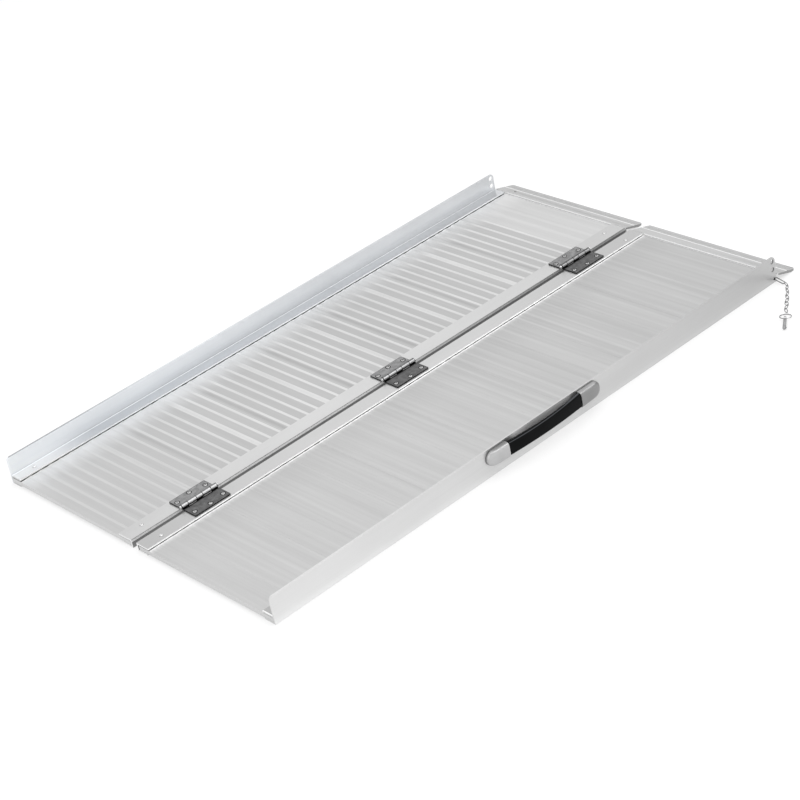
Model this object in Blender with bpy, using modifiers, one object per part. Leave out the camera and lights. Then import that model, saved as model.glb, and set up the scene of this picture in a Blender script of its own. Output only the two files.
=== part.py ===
"""A two-panel folding wheelchair ramp in aluminium.

The ramp lies open and flat. X runs along the ramp, from the bottom end to the
end with the two transition lips; Y runs across it, from the panel with the
carrying handle to the other; Z is up. The world origin is the middle of the
ramp's footprint, on the surface that it lies on. Design coordinates, in
millimetres, start at the outer bottom corner of the near curb.
"""

import math

import bmesh
import bpy
from mathutils import Matrix, Vector

MM = 0.001

# Overall
RAIL_LENGTH = 1220.0
WIDTH = 730.0
HEIGHT = 52.0
LIP_REACH = 50.0  # beyond the rail ends
HANDLE_REACH = 20.0  # beyond the near curb's outer face

# Side and centre rails, one wall thickness throughout
WALL = 3.0
FLANGE_TOP = 15.7
FLANGE_UNDER = FLANGE_TOP - WALL
OUTER_FLANGE = 28.0
BOTTOM_FLANGE = 26.0
NEAR_INNER_EDGE = 355.0
NEAR_STRIP = 30.0
FAR_INNER_EDGE = 371.0
FAR_STRIP = 36.0
CURB_RADIUS_BOTTOM_END = 7.0
CURB_RADIUS_TOP_END = 11.0

# Lock holes through both curbs near the top end
LOCK_X = 1212.0
LOCK_HEIGHTS = (26.3, 44.0)
LOCK_DIAMETER = 8.4

# Deck planks, extruded across each panel
GAP = 0.3
PLANK_JOINTS = [0.0] + [156.0 + 160.0 * i for i in range(7)] + [RAIL_LENGTH]
DECK_TOP = 11.7
RIB_TOP = 12.4
SHEET = 2.0
RIB_WIDTH = 6.0
RIB_PITCH = 22.06
PLANK_BOTTOM = WALL + GAP
WEB = 1.8

# Butt hinges
HINGE_Y = 367.8
HINGE_Z = 20.6
HINGE_CENTRES = (144.0, 610.0, 1076.0)
LEAF_LENGTH = 77.0
LEAF_THICKNESS = 2.0
KNUCKLE_RADIUS = 4.6
PIN_RADIUS = 2.4
PIN_CLEARANCE = 0.35
SHORT_KNUCKLE = 13.4
LONG_KNUCKLE = 18.4
NEAR_LEAF_EDGE = 328.8
FAR_LEAF_EDGE = 402.8
SCREW_SPREAD = 31.0
NEAR_SCREW_Y = (340.5, 336.0)  # end screws, middle screw
FAR_SCREW_Y = (389.0, 395.6)
SCREW_SHANK = 2.0
SCREW_HEAD = 4.3

# Lip extrusion
LIP_THICKNESS = 3.0
LIP_START = RAIL_LENGTH + 0.4
LIP_END = RAIL_LENGTH + LIP_REACH
LIP_TOP = 15.4

# Handle
HANDLE_X = 604.0
HANDLE_LENGTH = 276.0
CAP_LENGTH = 51.5
CAP_BOTTOM = 25.5
CAP_TOP = 51.0
CAP_REACH = 12.6
CAP_NOSE = 24.0
GRIP_HALF = 85.4
GRIP_THICKNESS = 7.2
GRIP_BOTTOM = 27.0
GRIP_TOP = 49.6
GRIP_BOW = 8.6
STRAP_THICKNESS = 2.0
STRAP_BOTTOM = 32.0
STRAP_TOP = 45.0
STRAP_SCREW = 112.5

# Tether of the lock pin, laid out on the floor beside the top end
TETHER_HOLE_X = 1214.6
TETHER_HOLE_Z = 7.0
LINK_WIRE = 0.9
CHAIN_RADIUS = 4.0
RING_RADIUS = 10.6
RING_WIRE = 1.25
LOCK_PIN_RADIUS = 3.2
LOCK_PIN_LENGTH = 34.0

OFFSET = Vector((-(RAIL_LENGTH + LIP_REACH) / 2, -(WIDTH - HANDLE_REACH) / 2, 0.0))

ALONG_X = Matrix(((0, 0, 1), (1, 0, 0), (0, 1, 0)))  # outline in Y and Z
ALONG_Y = Matrix(((1, 0, 0), (0, 0, -1), (0, 1, 0)))  # outline in X and Z
ALONG_Z = Matrix.Identity(3)  # outline in X and Y

for old in list(bpy.data.objects):
    bpy.data.objects.remove(old, do_unlink=True)

scene = bpy.context.scene
PARTS = bpy.data.collections.new("portable_wheelchair_ramp")
CUTTERS = bpy.data.collections.new("cutters")
scene.collection.children.link(PARTS)
scene.collection.children.link(CUTTERS)


def material(name, colour, roughness, metallic):
    made = bpy.data.materials.new(name)
    made.use_nodes = True
    shader = made.node_tree.nodes["Principled BSDF"]
    shader.inputs["Base Color"].default_value = (*colour, 1.0)
    shader.inputs["Roughness"].default_value = roughness
    shader.inputs["Metallic"].default_value = metallic
    made.diffuse_color = (*colour, 1.0)
    return made


RAIL_METAL = material("mill_aluminium", (0.74, 0.75, 0.77), 0.34, 1.0)
DECK_METAL = material("deck_aluminium", (0.66, 0.67, 0.68), 0.42, 1.0)
HINGE_STEEL = material("stainless_hinge", (0.42, 0.42, 0.43), 0.30, 1.0)
PIN_STEEL = material("bright_steel", (0.72, 0.72, 0.73), 0.18, 1.0)
CAP_PLASTIC = material("silver_plastic", (0.52, 0.53, 0.54), 0.30, 0.55)
GRIP_RUBBER = material("black_rubber", (0.015, 0.016, 0.017), 0.42, 0.0)
STRAP_STEEL = material("spring_steel", (0.36, 0.37, 0.39), 0.35, 1.0)


def to_world(point):
    return (Vector(point) + OFFSET) * MM


def empty(name, point):
    made = bpy.data.objects.new(name, None)
    made.location = to_world(point)
    made.empty_display_size = 0.03
    PARTS.objects.link(made)
    return made


NEAR = empty("near_panel_frame", (0, 0, 0))
FAR = empty("fold_axis", (0, HINGE_Y, HINGE_Z))
bpy.context.view_layer.update()


def object_from(name, mesh, anchor, cutter=False):
    """An object whose mesh is in design millimetres, with its origin at anchor."""
    mesh.transform(Matrix.Translation(-Vector(anchor)))
    mesh.transform(Matrix.Scale(MM, 4))
    made = bpy.data.objects.new(name, mesh)
    made.location = to_world(anchor)
    (CUTTERS if cutter else PARTS).objects.link(made)
    if cutter:
        made.hide_render = True
        made.display_type = "WIRE"
    return made


def finish(made, frame, finish_material, smooth=None):
    made.parent = frame
    made.matrix_parent_inverse = frame.matrix_world.inverted()
    made.data.materials.clear()
    made.data.materials.append(finish_material)
    if smooth is not None:
        made.data.shade_smooth()
        made.data.set_sharp_from_angle(angle=math.radians(smooth))
    return made


def prism_mesh(outlines, start, end, turn):
    """A flat outline, with any holes in it, extruded from start to end."""
    curve = bpy.data.curves.new("outline", "CURVE")
    curve.dimensions = "2D"
    curve.fill_mode = "BOTH"
    curve.extrude = abs(end - start) / 2
    for outline in outlines:
        spline = curve.splines.new("POLY")
        spline.points.add(len(outline) - 1)
        for at, (u, v) in zip(spline.points, outline):
            at.co = (u, v, 0, 1)
        spline.use_cyclic_u = True
    holder = bpy.data.objects.new("outline", curve)
    scene.collection.objects.link(holder)
    bpy.context.view_layer.update()
    mesh = bpy.data.meshes.new_from_object(
        holder.evaluated_get(bpy.context.evaluated_depsgraph_get())
    )
    bpy.data.objects.remove(holder, do_unlink=True)
    shape = bmesh.new()
    shape.from_mesh(mesh)
    bmesh.ops.remove_doubles(shape, verts=shape.verts, dist=1e-4)
    bmesh.ops.recalc_face_normals(shape, faces=shape.faces)
    shape.to_mesh(mesh)
    shape.free()
    middle = turn @ Vector((0, 0, (start + end) / 2))
    if turn is ALONG_Y:
        middle = Vector((0, (start + end) / 2, 0))
    mesh.transform(Matrix.Translation(middle) @ turn.to_4x4())
    return mesh


def prism(name, outlines, start, end, turn, anchor, cutter=False):
    return object_from(name, prism_mesh(outlines, start, end, turn), anchor, cutter)


def block_mesh(low, high):
    shape = bmesh.new()
    bmesh.ops.create_cube(shape, size=1.0)
    for vert in shape.verts:
        vert.co = [
            low[k] if vert.co[k] < 0 else high[k]
            for k in range(3)
        ]
    mesh = bpy.data.meshes.new("block")
    shape.to_mesh(mesh)
    shape.free()
    return mesh


def rods_mesh(rods, segments):
    """Cylinders, each (radius, start, end), as separate shells of one mesh."""
    shape = bmesh.new()
    for radius, start, end in rods:
        start, end = Vector(start), Vector(end)
        along = end - start
        turn = along.to_track_quat("Z", "Y").to_matrix().to_4x4()
        bmesh.ops.create_cone(
            shape,
            cap_ends=True,
            segments=segments,
            radius1=radius,
            radius2=radius,
            depth=along.length,
            matrix=Matrix.Translation((start + end) / 2) @ turn,
        )
    mesh = bpy.data.meshes.new("rods")
    shape.to_mesh(mesh)
    shape.free()
    return mesh


def turned(name, profile, steps, point, direction, frame, finish_material):
    """A profile of (radius, height) from top to bottom, turned about direction."""
    mesh = bpy.data.meshes.new(name)
    shape = bmesh.new()
    verts = [shape.verts.new((r * MM, 0, h * MM)) for r, h in profile]
    for a, b in zip(verts, verts[1:]):
        shape.edges.new((a, b))
    shape.to_mesh(mesh)
    shape.free()
    made = bpy.data.objects.new(name, mesh)
    made.location = to_world(point)
    made.rotation_euler = Vector(direction).to_track_quat("Z", "Y").to_euler()
    PARTS.objects.link(made)
    screw = made.modifiers.new("turn", "SCREW")
    screw.axis = "Z"
    screw.steps = screw.render_steps = steps
    screw.use_merge_vertices = True
    screw.merge_threshold = 1e-6
    screw.use_smooth_shade = True
    return finish(made, frame, finish_material)


def boolean(target, other, operation="DIFFERENCE"):
    made = target.modifiers.new(operation.lower(), "BOOLEAN")
    made.operation = operation
    made.object = other
    made.solver = "EXACT"


def cut(target, mesh):
    cutter = object_from(target.name + "_cutter", mesh, (0, 0, 0), cutter=True)
    boolean(target, cutter)


def add(target, mesh):
    other = object_from(target.name + "_adder", mesh, (0, 0, 0), cutter=True)
    boolean(target, other, "UNION")


def keep(target, mesh):
    other = object_from(target.name + "_keeper", mesh, (0, 0, 0), cutter=True)
    boolean(target, other, "INTERSECT")


def arc(centre, radius, start, end, steps):
    return [
        (
            centre[0] + radius * math.cos(math.radians(start + (end - start) * i / steps)),
            centre[1] + radius * math.sin(math.radians(start + (end - start) * i / steps)),
        )
        for i in range(steps + 1)
    ]


# ---------------------------------------------------------------- side rails


def side_rail(name, outer, inward, frame, with_tether_hole):
    """An h-section: curb wall, top flange over the deck's edge, bottom flange."""

    def y(distance):
        return outer + inward * distance

    outline = [
        (y(0), 0),
        (y(BOTTOM_FLANGE), 0),
        (y(BOTTOM_FLANGE), WALL),
        (y(WALL), WALL),
        (y(WALL), FLANGE_UNDER),
        (y(OUTER_FLANGE), FLANGE_UNDER),
        (y(OUTER_FLANGE), FLANGE_TOP),
        (y(WALL), FLANGE_TOP),
        (y(WALL), HEIGHT),
        (y(0), HEIGHT),
    ]
    rail = prism(name, [outline], 0, RAIL_LENGTH, ALONG_X, (0, outer, 0))
    finish(rail, frame, RAIL_METAL)
    low, high = sorted((y(-1), y(WALL + 1)))
    for x, side, radius in (
        (0, 1, CURB_RADIUS_BOTTOM_END),
        (RAIL_LENGTH, -1, CURB_RADIUS_TOP_END),
    ):
        centre = (x + side * radius, HEIGHT - radius)
        rounding = arc(centre, radius, 180 if side > 0 else 0, 90, 7)
        corner = [(x - side, HEIGHT - radius)] + rounding + [
            (x + side * radius, HEIGHT + 1),
            (x - side, HEIGHT + 1),
        ]
        cut(rail, prism_mesh([corner], low, high, ALONG_Y))
    rods = [
        (LOCK_DIAMETER / 2, (LOCK_X, low, z), (LOCK_X, high, z)) for z in LOCK_HEIGHTS
    ]
    if with_tether_hole:
        rods.append(
            (2.5, (TETHER_HOLE_X, low, TETHER_HOLE_Z), (TETHER_HOLE_X, high, TETHER_HOLE_Z))
        )
        for side in (-1, 1):
            x = HANDLE_X + side * STRAP_SCREW
            z = (STRAP_BOTTOM + STRAP_TOP) / 2
            rods.append((2.9, (x, low, z), (x, high, z)))
    cut(rail, rods_mesh(rods, 12))
    return rail


side_rail("near_side_rail", 0.0, 1, NEAR, True)
side_rail("far_side_rail", WIDTH, -1, FAR, False)

# -------------------------------------------------------------- centre rails


def centre_rail(name, edge, inward, strip, screw_rows, frame):
    """A channel that closes the deck's edge along the fold."""

    def y(distance):
        return edge + inward * distance

    outline = [
        (y(0), 0),
        (y(BOTTOM_FLANGE), 0),
        (y(BOTTOM_FLANGE), WALL),
        (y(WALL), WALL),
        (y(WALL), FLANGE_UNDER),
        (y(strip), FLANGE_UNDER),
        (y(strip), FLANGE_TOP),
        (y(0), FLANGE_TOP),
    ]
    rail = prism(name, [outline], 0, RAIL_LENGTH, ALONG_X, (0, edge, 0))
    finish(rail, frame, RAIL_METAL)
    holes = []
    for centre in HINGE_CENTRES:
        for k, x in enumerate((centre - SCREW_SPREAD, centre, centre + SCREW_SPREAD)):
            at = screw_rows[k % 2]
            holes.append(
                (SCREW_SHANK + 0.3, (x, at, FLANGE_UNDER - 1), (x, at, FLANGE_TOP + 1))
            )
    cut(rail, rods_mesh(holes, 8))
    return rail


centre_rail(
    "near_centre_rail", NEAR_INNER_EDGE, -1, NEAR_STRIP, NEAR_SCREW_Y, NEAR
)
centre_rail("far_centre_rail", FAR_INNER_EDGE, 1, FAR_STRIP, FAR_SCREW_Y, FAR)

# -------------------------------------------------------------------- planks


def plank_outline(start, end, last):
    """Ribbed top sheet on webs, as extruded; the last one is left open for the lip."""
    width = end - start
    if last:
        ribs = [6.0 + 24.7 * i for i in range(4)]
        webs = [1.0, 48.0, 76.0]
        half, rise = RIB_WIDTH / 2 + 1.0, RIB_TOP - 0.3
    else:
        count = int((width - 2.8) // RIB_PITCH) + 1
        ribs = [width - 2.8 - RIB_PITCH * i for i in range(count)][::-1]
        ribs = [r for r in ribs if r > 2.5]
        webs = [1.0, width * 0.34, width * 0.66, width - 1.0]
        half, rise = RIB_WIDTH / 2, RIB_TOP
    low, high = 0.15, width - 0.15
    top = []
    for rib in ribs:
        a, b = max(rib - half, low), min(rib + half, high)
        if a > low:
            top.append((a, DECK_TOP))
            top.append((a + 0.7, rise))
        else:
            top.append((a, rise))
        if b < high:
            top.append((b - 0.7, rise))
            top.append((b, DECK_TOP))
        else:
            top.append((b, rise))
    if top[0][0] > low:
        top.insert(0, (low, DECK_TOP))
    if top[-1][0] < high:
        top.append((high, DECK_TOP))
    under = DECK_TOP - SHEET
    bottom = []
    for web in webs:
        a, b = max(web - WEB / 2, low), min(web + WEB / 2, high)
        if a > low:
            bottom.append((a, under))
        bottom += [(a, PLANK_BOTTOM), (b, PLANK_BOTTOM)]
        if b < high:
            bottom.append((b, under))
    if bottom[-1][0] < high:
        bottom.append((high, under))
    return [(start + x, z) for x, z in bottom + top[::-1]]


for side, frame, low, high in (
    ("near", NEAR, WALL + 0.4, NEAR_INNER_EDGE - WALL - 0.4),
    ("far", FAR, FAR_INNER_EDGE + WALL + 0.4, WIDTH - WALL - 0.4),
):
    for number, (start, end) in enumerate(zip(PLANK_JOINTS, PLANK_JOINTS[1:]), 1):
        last = number == len(PLANK_JOINTS) - 1
        first_y = low + (6.6 if last and side == "near" else 0)
        name = f"{side}_end_plank" if last else f"{side}_deck_plank_{number}"
        plank = prism(
            name,
            [plank_outline(start, end, last)],
            first_y,
            high,
            ALONG_Y,
            (start, low, PLANK_BOTTOM),
        )
        finish(plank, frame, DECK_METAL)

# ---------------------------------------------------------------------- lips


def lip(name, low, high, frame, notch_low):
    """A sloped plate that starts flush with the flanges and ends on the ground."""
    slope = (LIP_TOP - LIP_THICKNESS) / (LIP_END - 4 - LIP_START)

    def top(x):
        return max(LIP_TOP - slope * (x - LIP_START), LIP_THICKNESS)

    outline = [(LIP_START, PLANK_BOTTOM), (LIP_START + 3, PLANK_BOTTOM)]
    outline += [(LIP_START + 3, top(LIP_START + 3) - LIP_THICKNESS)]
    outline += [(LIP_END - 12, 0.0), (LIP_END - 0.6, 0.0), (LIP_END, 0.8)]
    outline += [(LIP_END, 1.8), (LIP_END - 1.2, LIP_THICKNESS), (LIP_END - 4, LIP_THICKNESS)]
    for ridge in (30.0, 5.0):
        x = RAIL_LENGTH + ridge
        outline += [
            (x + 2.2, top(x + 2.2)),
            (x + 1.0, top(x + 1.0) + 0.9),
            (x - 1.0, top(x - 1.0) + 0.9),
            (x - 2.2, top(x - 2.2)),
        ]
    outline += [(LIP_START, LIP_TOP)]
    made = prism(name, [outline], low, high, ALONG_Y, (LIP_START, low, 0))
    finish(made, frame, RAIL_METAL)
    radius = 6.0
    corner = []
    for y, turn in ((low, -90), (high, 0)):
        side = 1 if turn else -1
        corner += arc((LIP_END - radius, y + side * radius), radius, turn, turn + 90, 5)
    corner += [(LIP_START - 2, high), (LIP_START - 2, low)]
    keep(made, prism_mesh([corner], -1, HEIGHT, ALONG_Z))
    inner_low, inner_high = low + 34, high - 40
    add(
        made,
        block_mesh((RAIL_LENGTH - 19, inner_low, 5.6), (LIP_START + 1.5, inner_high, 9.2)),
    )
    hole_y = (low + 40) if notch_low else (high - 40)
    cut(
        made,
        rods_mesh([(2.6, (RAIL_LENGTH + 18, hole_y, -2), (RAIL_LENGTH + 18, hole_y, 20))], 16),
    )
    if notch_low:
        cut(made, block_mesh((RAIL_LENGTH - 1, low - 2, -1), (RAIL_LENGTH + 5.0, 10.0, 12.2)))
    return made


lip("near_lip", 0.3, NEAR_INNER_EDGE - 0.7, NEAR, True)
lip("far_lip", FAR_INNER_EDGE + 0.3, WIDTH - 0.3, FAR, False)

# -------------------------------------------------------------------- hinges


def knuckle_edges(centre):
    widths = [SHORT_KNUCKLE, LONG_KNUCKLE, SHORT_KNUCKLE, LONG_KNUCKLE, SHORT_KNUCKLE]
    x = centre - LEAF_LENGTH / 2
    edges = []
    for width in widths:
        edges.append((x, x + width))
        x += width
    return edges


LEAF_LOW = HINGE_Z - KNUCKLE_RADIUS
LEAF_HIGH = LEAF_LOW + LEAF_THICKNESS


def leaf(name, centre, edge, knuckles, screw_rows, frame):
    """A flat leaf whose knuckles curl up round the pin."""
    side = 1 if edge > HINGE_Y else -1
    start = HINGE_Y + side * (KNUCKLE_RADIUS + 0.7)
    low, high = sorted((start, edge))
    plate = block_mesh(
        (centre - LEAF_LENGTH / 2, low, LEAF_LOW),
        (centre + LEAF_LENGTH / 2, high, LEAF_HIGH),
    )
    made = object_from(name, plate, (centre, HINGE_Y, HINGE_Z))
    finish(made, frame, HINGE_STEEL, 35)
    every = knuckle_edges(centre)
    for k in knuckles:
        a, b = every[k]
        a += 0 if k == 0 else 0.18
        b -= 0 if k == len(every) - 1 else 0.18
        reach = start + side * 2.5
        # The curl as a disc, and the neck that joins it to the plate.
        disc = arc((HINGE_Y, HINGE_Z), KNUCKLE_RADIUS, 0, 360, 14)[:-1]
        add(made, prism_mesh([disc], a, b, ALONG_X))
        neck_low, neck_high = sorted((HINGE_Y, reach))
        add(made, block_mesh((a, neck_low, LEAF_LOW), (b, neck_high, LEAF_HIGH)))
    cut(
        made,
        rods_mesh(
            [
                (
                    PIN_RADIUS + PIN_CLEARANCE,
                    (centre - LEAF_LENGTH, HINGE_Y, HINGE_Z),
                    (centre + LEAF_LENGTH, HINGE_Y, HINGE_Z),
                )
            ],
            10,
        ),
    )
    holes = []
    for k, x in enumerate((centre - SCREW_SPREAD, centre, centre + SCREW_SPREAD)):
        at = screw_rows[k % 2]
        holes.append((SCREW_SHANK + 0.3, (x, at, LEAF_LOW - 1), (x, at, LEAF_HIGH + 1)))
        holes.append((SCREW_HEAD + 0.35, (x, at, LEAF_HIGH - 0.9), (x, at, LEAF_HIGH + 2)))
    shanks, recesses = holes[0::2], holes[1::2]
    cut(made, rods_mesh(shanks, 8))
    cut(made, rods_mesh(recesses, 12))
    return made


def screws(prefix, centre, screw_rows, frame):
    for k, x in enumerate((centre - SCREW_SPREAD, centre, centre + SCREW_SPREAD)):
        at = screw_rows[k % 2]
        base = LEAF_HIGH - 0.6
        profile = [
            (0, base + 1.2),
            (SCREW_HEAD * 0.75, base + 0.9),
            (SCREW_HEAD, base + 0.35),
            (SCREW_HEAD, base),
            (SCREW_SHANK, base),
            (SCREW_SHANK, FLANGE_UNDER + 0.1),
            (0, FLANGE_UNDER + 0.1),
        ]
        turned(f"{prefix}_screw_{k + 1}", profile, 8, (x, at, 0), (0, 0, 1), frame, PIN_STEEL)


for number, centre in enumerate(HINGE_CENTRES, 1):
    leaf(f"hinge_{number}_near_leaf", centre, NEAR_LEAF_EDGE, (0, 2, 4), NEAR_SCREW_Y, NEAR)
    leaf(f"hinge_{number}_far_leaf", centre, FAR_LEAF_EDGE, (1, 3), FAR_SCREW_Y, FAR)
    half = LEAF_LENGTH / 2
    turned(
        f"hinge_{number}_pin",
        [
            (0, half + 3.6),
            (3.0, half + 3.0),
            (4.4, half + 1.6),
            (4.4, half + 0.4),
            (PIN_RADIUS, half + 0.4),
            (PIN_RADIUS, -half - 0.4),
            (3.1, -half - 0.4),
            (2.4, -half - 2.4),
            (0, -half - 2.8),
        ],
        10,
        (centre, HINGE_Y, HINGE_Z),
        (1, 0, 0),
        NEAR,
        PIN_STEEL,
    )
    screws(f"hinge_{number}_near", centre, NEAR_SCREW_Y, NEAR)
    screws(f"hinge_{number}_far", centre, FAR_SCREW_Y, FAR)

# -------------------------------------------------------------------- handle

GRIP_EDGE_Y = -(CAP_REACH - 1.2 - GRIP_THICKNESS / 2)


def bow(x):
    """How far out the middle of the strap lies at x, as a shallow parabola."""
    return GRIP_EDGE_Y - GRIP_BOW * (1 - (x / GRIP_HALF) ** 2)


def ribbon(xs, middle, half):
    """The plan outline of a strap of that half thickness along y = middle(x)."""
    left, right = [], []
    for x in xs:
        slope = (middle(x + 0.5) - middle(x - 0.5)) / 1.0
        normal = Vector((-slope, 1)).normalized()
        left.append((HANDLE_X + x + normal.x * half, middle(x) + normal.y * half))
        right.append((HANDLE_X + x - normal.x * half, middle(x) - normal.y * half))
    return left + right[::-1]


def strap_line(x):
    """Bowed inside the grip, then down on to the curb at each end."""
    at = abs(x)
    if at <= GRIP_HALF:
        return bow(at)
    flat = -(STRAP_THICKNESS / 2 + 0.35)
    t = min(1.0, (at - GRIP_HALF) / 14.0)
    t = t * t * (3 - 2 * t)
    return bow(GRIP_HALF) * (1 - t) + flat * t


grip_xs = [GRIP_HALF * (-1 + i / 7) for i in range(15)]
grip = prism(
    "handle_grip",
    [ribbon(grip_xs, bow, GRIP_THICKNESS / 2)],
    GRIP_BOTTOM,
    GRIP_TOP,
    ALONG_Z,
    (HANDLE_X, bow(0), GRIP_BOTTOM),
)
finish(grip, NEAR, GRIP_RUBBER, 40)
rounding = grip.modifiers.new("rounding", "BEVEL")
rounding.width = 1.8 * MM
rounding.segments = 2
rounding.limit_method = "ANGLE"
rounding.angle_limit = math.radians(50)
slot_xs = [(GRIP_HALF + 6) * (-1 + i / 6) for i in range(13)]
cut(
    grip,
    prism_mesh(
        [ribbon(slot_xs, bow, STRAP_THICKNESS / 2 + 0.35)],
        STRAP_BOTTOM - 0.35,
        STRAP_TOP + 0.35,
        ALONG_Z,
    ),
)

strap_reach = STRAP_SCREW + 9
strap_xs = sorted(
    {round(GRIP_HALF * (-1 + i / 6), 3) for i in range(13)}
    | {s * (GRIP_HALF + 14.0 * i / 4) for s in (-1, 1) for i in range(1, 5)}
    | {-strap_reach, strap_reach}
)
strap = prism(
    "handle_strap",
    [ribbon(strap_xs, strap_line, STRAP_THICKNESS / 2)],
    STRAP_BOTTOM,
    STRAP_TOP,
    ALONG_Z,
    (HANDLE_X, 0, STRAP_BOTTOM),
)
finish(strap, NEAR, STRAP_STEEL, 40)
middle_z = (STRAP_BOTTOM + STRAP_TOP) / 2
cut(
    strap,
    rods_mesh(
        [
            (2.7, (HANDLE_X + s * STRAP_SCREW, -6, middle_z), (HANDLE_X + s * STRAP_SCREW, 2, middle_z))
            for s in (-1, 1)
        ],
        10,
    ),
)


def cap(name, side):
    """A rounded shell over the end of the strap, open to the curb and the grip."""
    inner = HANDLE_LENGTH / 2 - CAP_LENGTH
    outer = HANDLE_LENGTH / 2
    radius = (CAP_TOP - CAP_BOTTOM) / 2
    middle = (CAP_TOP + CAP_BOTTOM) / 2
    front = [(inner, CAP_BOTTOM)]
    front += arc((outer - radius, middle), radius, -90, 90, 14)
    front += [(inner, CAP_TOP)]
    if side < 0:
        front = [(-x, z) for x, z in front][::-1]
    front = [(HANDLE_X + x, z) for x, z in front]
    made = prism(name, [front], -CAP_REACH - 2, -0.3, ALONG_Y, (HANDLE_X + side * inner, 0, middle))
    finish(made, NEAR, CAP_PLASTIC, 40)
    # In plan the nose is a quarter of a superellipse.
    plan = [(HANDLE_X + side * (inner - 2), -CAP_REACH)]
    for i in range(11):
        turn = math.radians(90 * (1 - i / 10))
        x = outer + 0.2 - CAP_NOSE * (1 - math.cos(turn) ** 0.87)
        plan.append((HANDLE_X + side * x, -0.2 - (CAP_REACH - 0.2) * math.sin(turn) ** 0.87))
    plan += [(plan[-1][0], 2.0), (plan[0][0], 2.0)]
    keep(made, prism_mesh([plan], CAP_BOTTOM - 2, CAP_TOP + 2, ALONG_Z))
    # The pocket round the strap's end and its rivet: deep where the strap comes in.
    for first, last, depth in ((-1, 19, 9.8), (17, CAP_LENGTH - 11, 7.2)):
        low, high = sorted((HANDLE_X + side * (inner + first), HANDLE_X + side * (inner + last)))
        cut(made, block_mesh((low, -depth, STRAP_BOTTOM - 2.4), (high, 1.0, STRAP_TOP + 2.4)))
    return made


cap("handle_cap_bottom_end", -1)
cap("handle_cap_top_end", 1)
for name, side in (("handle_rivet_bottom_end", -1), ("handle_rivet_top_end", 1)):
    face = STRAP_THICKNESS + 0.35 + 0.3
    turned(
        name,
        [
            (0, face + 1.7),
            (2.8, face + 1.4),
            (4.2, face),
            (2.4, face),
            (2.4, -WALL + 0.15),
            (0, -WALL + 0.15),
        ],
        10,
        (HANDLE_X + side * STRAP_SCREW, 0, middle_z),
        (0, -1, 0),
        NEAR,
        PIN_STEEL,
    )

# -------------------------------------------------------------------- tether


def swept(name, points, radius, bevel_resolution, closed, frame, finish_material, anchor):
    curve = bpy.data.curves.new(name, "CURVE")
    curve.dimensions = "3D"
    curve.bevel_depth = radius * MM
    curve.bevel_resolution = bevel_resolution
    curve.use_fill_caps = not closed
    spline = curve.splines.new("POLY")
    spline.points.add(len(points) - 1)
    for at, point in zip(spline.points, points):
        at.co = (*((Vector(point) - Vector(anchor)) * MM), 1)
    spline.use_cyclic_u = closed
    made = bpy.data.objects.new(name, curve)
    made.location = to_world(anchor)
    PARTS.objects.link(made)
    made.parent = frame
    made.matrix_parent_inverse = frame.matrix_world.inverted()
    curve.materials.append(finish_material)
    return made


# A long oval link through the hole in the curb and round the curb's end.
link_half_width = (RAIL_LENGTH + 1.35 - TETHER_HOLE_X) / 2 + 0.05
link_inside = WALL + 1.6 + LINK_WIRE
link_length = 27.0 - 2 * LINK_WIRE
link_straight = link_length / 2 - link_half_width
link_centre = Vector((TETHER_HOLE_X + link_half_width, link_inside - link_length / 2, 0))
drop = (TETHER_HOLE_Z - 1.5) / link_length
oval = []
for centre_v, start in ((link_straight, 0), (-link_straight, 180)):
    for u, v in arc((0, centre_v), link_half_width, start, start + 180, 6):
        oval.append((u, v))
link_points = []
for u, v in oval:
    inside = link_length / 2 - v
    link_points.append((link_centre.x + u, link_centre.y + v, TETHER_HOLE_Z - drop * inside))
swept("tether_link", link_points, LINK_WIRE, 1, True, NEAR, PIN_STEEL, link_points[4])

TETHER_ROUTE = (
    (1217.6, -22.2),
    (1208.0, -38.0),
    (1160.0, -71.0),
    (1133.0, -90.6),
)


def tether_point(t):
    a, b, c, d = (Vector(p) for p in TETHER_ROUTE)
    s = 1 - t
    at = a * s**3 + b * 3 * s * s * t + c * 3 * s * t * t + d * t**3
    return Vector((at.x, at.y, CHAIN_RADIUS + 0.05))


chain_points = [tether_point(i / 16) for i in range(17)]
swept("tether_chain", chain_points, CHAIN_RADIUS, 2, False, NEAR, PIN_STEEL, chain_points[0])

chain_end = chain_points[-1]
away = (chain_points[-1] - chain_points[-2]).normalized()
across = Vector((-away.y, away.x, 0))
pin_height = 4.6
ring_low = RING_WIRE + 0.1
tilt = math.asin((pin_height - ring_low) / (2 * RING_RADIUS))
ring_axis_u = Vector((away.x * math.cos(tilt), away.y * math.cos(tilt), math.sin(tilt)))
near_ring = chain_end + away * (0.5 + RING_WIRE)
near_ring.z = ring_low
ring_centre = near_ring + ring_axis_u * RING_RADIUS
ring_points = [
    ring_centre
    + ring_axis_u * (RING_RADIUS * math.cos(2 * math.pi * i / 20))
    + across * (RING_RADIUS * math.sin(2 * math.pi * i / 20))
    for i in range(20)
]
swept("tether_split_ring", ring_points, RING_WIRE, 1, True, NEAR, PIN_STEEL, ring_centre)

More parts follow.
